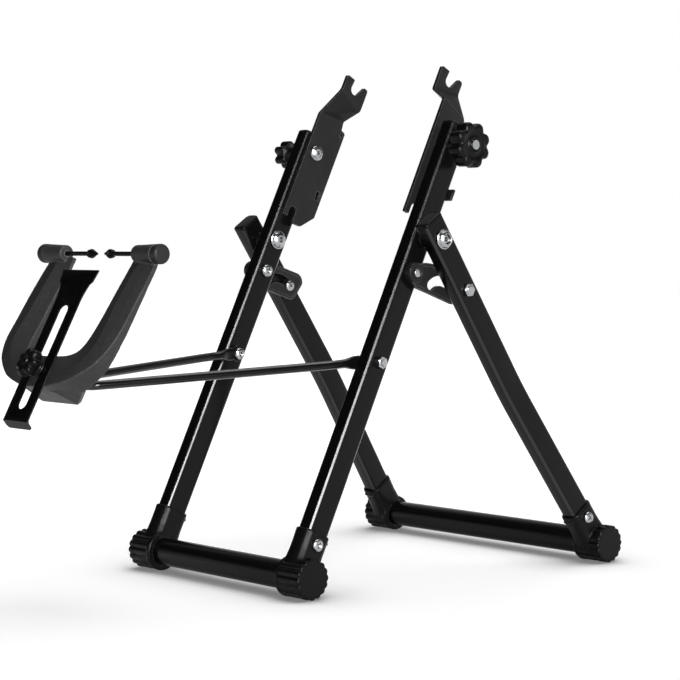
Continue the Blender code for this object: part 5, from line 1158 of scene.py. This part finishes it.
def yoke_block():
    bm = bmesh.new()
    for sx in (-1, 1):
        for x, y, z in BLOCK_CORNERS:
            bm.verts.new((sx * x, y, z))
    made = bmesh.ops.convex_hull(bm, input=list(bm.verts))
    loose = [v for v in made["geom_interior"] + made["geom_unused"] if isinstance(v, bmesh.types.BMVert)]
    bmesh.ops.delete(bm, geom=list(set(loose)), context="VERTS")
    return bm


yoke = weld(mesh_object("yoke_moulding", loft(u_rings)), yoke_block())
for side, s in SIDES:
    boss = turned([(0, 52.0), (6.6, 52.0), (7.6, 53.0), (7.7, 60), (8.4, 79.3), (0, 79.3)], sign=s, steps=72)
    boss.transform(Matrix.Translation((0, -AXIS_P, AXIS_Q)))
    weld(yoke, boss)
melt(yoke, 0.55, 3)
for side, s in SIDES:
    drill(yoke, 2.35, (s * 46, s * 84), -AXIS_P, AXIS_Q)
    drill(yoke, 9.2, (s * 26.5, s * 66.5), steps=64)
drill(yoke, 4.35, (-60, 60), steps=64)
well = turned([(0, -36), (BOLT_BORE, -36), (BOLT_BORE, -19.4), (0, -19.4)], steps=40)
well.transform(Matrix.Translation((0, 0, -CLAMP_DROP)) @ Matrix.Rotation(math.pi / 2, 4, "Z"))
cut(yoke, well)
place_piece(settle(yoke, 50.0), YOKE, "yoke_body", "yoke", yoke_resin)
print("yoke faces:", len(yoke.data.polygons))

# %% [markdown]
# ### Screw feelers
# Two pointed feelers close in on the rim from both sides. Each is a thin shaft with an arrow-like
# head, turned with a small groove behind its widest part, and a smooth domed cap at its outer end
# that is pinched to turn it.

# %% Feelers and their caps
shaft = [(0, 4.5), (0.5, 4.7), (2.6, 9.8), (4.0, 13.0), (4.2, 13.7), (3.9, 14.4), (2.9, 14.9), (2.8, 15.6),
         (3.7, 16.1), (3.7, 16.9), (2.5, 18.2), (2.0, 19.5), (2.0, 84.2), (0, 84.2)]
dome = [(5.0, 79.6), (8.0, 79.6), (8.4, 80.1), (8.5, 81.0), (8.2, 81.5), (8.2, 82.1), (8.6, 82.6),
        (8.6, 85.9), (7.9, 87.3), (6.2, 88.0), (3.2, 88.2)]
cap = [(2.35, 79.6)] + eased(dome, 0.5) + [(0.0, 88.2), (0.0, 84.5), (2.35, 84.5)]
where = YOKE @ at(0, -AXIS_P, AXIS_Q)
for side, s in SIDES:
    piece = settle(mesh_object(f"feeler_spindle_{side}", turned(shaft, 0, s, 0.35, 3, 48)), 30.0)
    place_piece(piece, where, f"feeler_slide_{side}", f"feeler_{side}", strip_coat)
    piece = settle(mesh_object(f"feeler_cap_{side}", turned(cap, 0, s, steps=72, ring=True)), 38.0)
    place_piece(piece, where, f"feeler_turn_{side}", f"feeler_knob_{side}", cap_plastic)
print("gap between the feelers in mm:", 2 * shaft[0][1])

# %% [markdown]
# ### Radial gauge plate
# A thin slotted plate slides down the front of the yoke, and its flared top is what the rim's edge
# nearly touches. Its foot is bent back into a short lip. The sheet is only 1 mm thick, so its edge
# bevel is fine, and a round fold joins the lip to the plate.

# %% Slotted plate with a bent lip
GAUGE_FACE, GAUGE_FOOT, GAUGE_HALF, LIP_TURN = -34.0, -50.6, 18.4, math.radians(65.0)
FACE_FRONT = Matrix(((0, 1, 0, 0), (-1, 0, 0, 0), (0, 0, 1, 0), (0, 0, 0, 1)))


def gauge_outline():
    wide, top = 26.6, 92.0
    right = [(GAUGE_HALF, GAUGE_FOOT), (GAUGE_HALF, top - 29)]
    for t in (i / 18 for i in range(1, 19)):
        right.append((GAUGE_HALF + (wide - 5.2 - GAUGE_HALF) * t ** 1.7, top - 29 + 15 * t))
    right += [(wide - 2.2, top - 11.2), (wide, top - 0.6), (wide - 0.8, top)]
    return right + [(-x, q) for x, q in reversed(right)]


slot = arc((0, 52.3), 5.7, 0, 180, 20) + arc((0, -34.1), 5.7, 180, 360, 20)
sheet = thickened(filled([gauge_outline(), slot]), 0.0, 1.0)
sheet.transform(Matrix.Translation((0, GAUGE_FACE, 0)) @ FACE_FRONT)
plate = soften_edges("radial_plate", sheet, 0.22, 2)
to_foot = Matrix.Translation((0, GAUGE_FACE, GAUGE_FOOT))
tongue = ([(-GAUGE_HALF, -0.5), (GAUGE_HALF, -0.5)] + arc((14.4, 4.0), 4.0, 0, 90, 8)
          + arc((-14.4, 4.0), 4.0, 90, 180, 8))
lip = thickened(filled([tongue]), 0.0, 1.0)
lip.transform(to_foot @ Matrix.Rotation(LIP_TURN, 4, "X") @ FACE_FRONT @ Matrix.Diagonal((1, 1, -1, 1)))
fold = turned([(0, -GAUGE_HALF), (1.0, -GAUGE_HALF), (1.0, GAUGE_HALF), (0, GAUGE_HALF)], steps=32)
fold.transform(to_foot)
weld(plate, fold)
weld(plate, lip)
place_piece(settle(plate, 35.0), YOKE, "radial_gauge", "gauge_plate", strip_coat)
print("gauge plate faces:", len(plate.data.polygons))

# %% [markdown]
# ### Clamp
# A small star knob, a washer and a screw hold the radial plate at its height. They point forward,
# out of the yoke's face, so each is made along X like the other knobs and then turned to the front.

# %% Clamp knob, washer and screw
FORWARD = YOKE @ at(0, 0, -CLAMP_DROP) @ Matrix.Rotation(-math.pi / 2, 4, "Z")
CLAMP_TIP = 50.6
washer = [(6.0, 35.3), (9.0, 35.3), (9.0, 36.9), (BOLT_BORE, 36.9), (BOLT_BORE, 35.3)]
piece = settle(mesh_object("clamp_disc", turned(washer, ease=0.35, ring=True)), 38.0)
place_piece(piece, FORWARD, "clamp", "clamp_washer", black_steel)
knob = star_knob("clamp_star", 37.2, 1, 8.0, 3.2, 9.6, 13.2, 7, 1.3, BOLT_BORE, 4.6)
place_piece(knob, FORWARD, "clamp", "clamp_knob", moulded_black)
stud = mesh_object("thread", threaded(3.0, 19.7, CLAMP_TIP, 1.0, 0.35))
place_piece(settle(stud, 35.0), FORWARD, "clamp", "clamp_screw", black_steel)
print("clamp reaches", CLAMP_TIP, "mm forward of the rod")

# %% [markdown]
# ## The studio
# The photograph shows the stand on white, with soft shadows hugging the crossbars. The floor is pale
# grey, and ambient occlusion darkens it where something stands close above it, which gives those
# hugging shadows. It adds light only for camera, glossy and transmission rays, so it fades into a
# white world and throws no extra matt light on the stand. Gloss black shows whatever stands around
# it, so to glossy rays the world is white round the horizon, dark overhead and at the far left, and
# a little over half bright in one soft patch behind the stand. That keeps the tops of the crossbars
# black and the left-hand faces quiet, as they are in the photograph.

# %% Pale floor
def any_ray(tree, rays, first, *others):
    """One for the kinds of ray that are named, and zero for all others."""
    seen = rays[first]
    for label in others:
        seen = add_node(tree, "Math", {0: seen, 1: rays[label]}, operation="MAXIMUM")
    return seen


FLOOR_GREY, FLOOR_REACH, FLOOR_HALF = 0.90, 0.075, 8000.0
NEAR_LIFT, FAR_LIFT = 0.26, 0.40
floor_bm = bmesh.new()
bmesh.ops.create_grid(floor_bm, x_segments=8, y_segments=8, size=FLOOR_HALF)
floor = mesh_object("studio_floor", floor_bm)
floor_finish = bpy.data.materials.new("pale_floor")
floor_finish.use_nodes = True
tree = floor_finish.node_tree
tree.nodes.clear()
shut = add_node(tree, "AmbientOcclusion", {"Distance": FLOOR_REACH}, "AO", samples=8)
hugging = remap(tree, shut, 0.45, 0.97, 0.38, 1.0)
matt = add_node(tree, "BsdfDiffuse", {"Color": times(tree, hugging, FLOOR_GREY)})
spot = add_node(tree, "TexCoord", output="Object")
away = add_node(tree, "VectorMath", {0: spot}, "Value", operation="LENGTH")
fade = remap(tree, away, 0.45, 1.3, NEAR_LIFT, FAR_LIFT)
rays = tree.nodes.new("ShaderNodeLightPath").outputs
seen = any_ray(tree, rays, "Is Camera Ray", "Is Glossy Ray", "Is Transmission Ray")
lift = times(tree, seen, times(tree, hugging, fade))
glow = add_node(tree, "Emission", {"Color": (1.0, 1.0, 1.0, 1.0), "Strength": lift})
both = add_node(tree, "AddShader", {0: matt, 1: glow})
tree.links.new(both, tree.nodes.new("ShaderNodeOutputMaterial").inputs["Surface"])
floor.data.materials.append(floor_finish)
floor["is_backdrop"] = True
print("floor grey", FLOOR_GREY, "plus", NEAR_LIFT, "near the stand and", FAR_LIFT, "far away for the eye")

# %% White surround, dark overhead and at the far left
SCREEN_TOWARD, MATT_LEVEL = (-0.64, 0.72, 0.26), 0.15
world = bpy.data.worlds.new("studio")
bpy.context.scene.world = world
world.use_nodes = True
tree = world.node_tree
tree.nodes.clear()
spot = add_node(tree, "TexCoord", output="Generated")
behind = add_node(tree, "VectorMath", {0: spot, 1: SCREEN_TOWARD}, "Value", operation="DOT_PRODUCT")
screen = remap(tree, behind, 0.50, 0.98, 0.03, 0.60, smooth=True)
rise, across = (add_node(tree, "SeparateXYZ", {"Vector": spot}, part) for part in ("Z", "X"))
ceiling = remap(tree, rise, 0.08, 0.36, 1.0, screen, smooth=True)
left_dark = remap(tree, across, -0.97, -0.72, 0.06, 1.0, smooth=True)
surround = times(tree, ceiling, left_dark)
rays = tree.nodes.new("ShaderNodeLightPath").outputs
seen = any_ray(tree, rays, "Is Camera Ray", "Is Transmission Ray")
soft = add_node(tree, "Mix", {"Factor": rays["Is Glossy Ray"], 2: MATT_LEVEL, 3: surround},
                data_type="FLOAT")
level = add_node(tree, "Mix", {"Factor": seen, 2: soft, 3: 1.0}, data_type="FLOAT")
sky = add_node(tree, "Background", {"Color": (1, 1, 1, 1), "Strength": level})
tree.links.new(sky, tree.nodes.new("ShaderNodeOutputWorld").inputs["Surface"])
print("world level", MATT_LEVEL, "on matt surfaces, white to the eye")

# %% [markdown]
# ### Lamps
# Two wide suns light the stand. The key comes from the right, low down, because the stand's
# right-hand faces are its lightest, and it casts no shadow. The other hangs above the stand and a
# little behind it, and casts the shadows that fall under the crossbars and forward. Four narrow suns
# stand above and behind the camera, where a strip softbox would be. The rounded front corners of the
# legs throw them back as one long bright line, and matt surfaces don't see them.

# %% Key, top light and strips
def sun_lamp(name, toward, level, spread):
    light = bpy.data.lights.new(name, "SUN")
    light.energy, light.angle = level, math.radians(spread)
    lamp = bpy.data.objects.new(name, light)
    bpy.context.scene.collection.objects.link(lamp)
    lamp.location = Vector(toward) * 3
    lamp.rotation_mode = "QUATERNION"
    lamp.rotation_quaternion = (-Vector(toward)).to_track_quat("-Z", "Y")
    return lamp


def leg_strip(turn, along, level, spread):
    """A lamp that the rounded front corners throw at the camera, and that only gloss can see."""
    across = math.sqrt(1 - along ** 2)
    local = Vector((across * math.cos(turn), -across * math.sin(turn), along))
    lamp = sun_lamp("strip", Matrix.Rotation(-FRONT_LEAN, 3, "X") @ local, level, spread)
    lamp.visible_diffuse = False


for turn in (38.0, 56.0):
    for along in (0.10, 0.19):
        leg_strip(math.radians(turn), along, 0.80, 10.0)
sun_lamp("side_key", (0.96, -0.24, 0.12), 5.6, 30.0).data.use_shadow = False
sun_lamp("top_light", (0.0, 0.26, 0.965), 1.5, 50.0)

# %% [markdown]
# ## Camera and view
# The photograph looks at the stand's front right side with a long lens, from about the height of the
# main pivots and slightly downward, so parallel legs stay nearly parallel. The camera keeps that
# place, direction and focal length, with no depth of field and no shift.

# %% Camera at the photograph's angle
camera_data = bpy.data.cameras.new("photo_camera")
camera_data.lens, camera_data.sensor_width, camera_data.sensor_fit = 102.33, 36.0, "AUTO"
camera = bpy.data.objects.new("photo_camera", camera_data)
bpy.context.scene.collection.objects.link(camera)
camera.location = (1.3754, pivot_point.y - 1.2539, 0.3092)
camera.rotation_mode = "QUATERNION"
camera.rotation_quaternion = Vector((-0.73860, 0.67239, -0.04859)).to_track_quat("-Z", "Y")
camera_data.clip_start, camera_data.clip_end = 0.05, 50.0
bpy.context.scene.camera = camera
bpy.context.scene.view_settings.view_transform = "Standard"
print("camera stands", round((camera.location - pivot_point).length, 2), "m from the pivot")

# %% [markdown]
# ### Measure the dressed stand
# The dressed stand should not outgrow the solid one, and its box is printed in millimetres.

# %% Print the dressed box
low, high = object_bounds()
print("dressed size in mm:", [round(1000 * v, 1) for v in high - low])
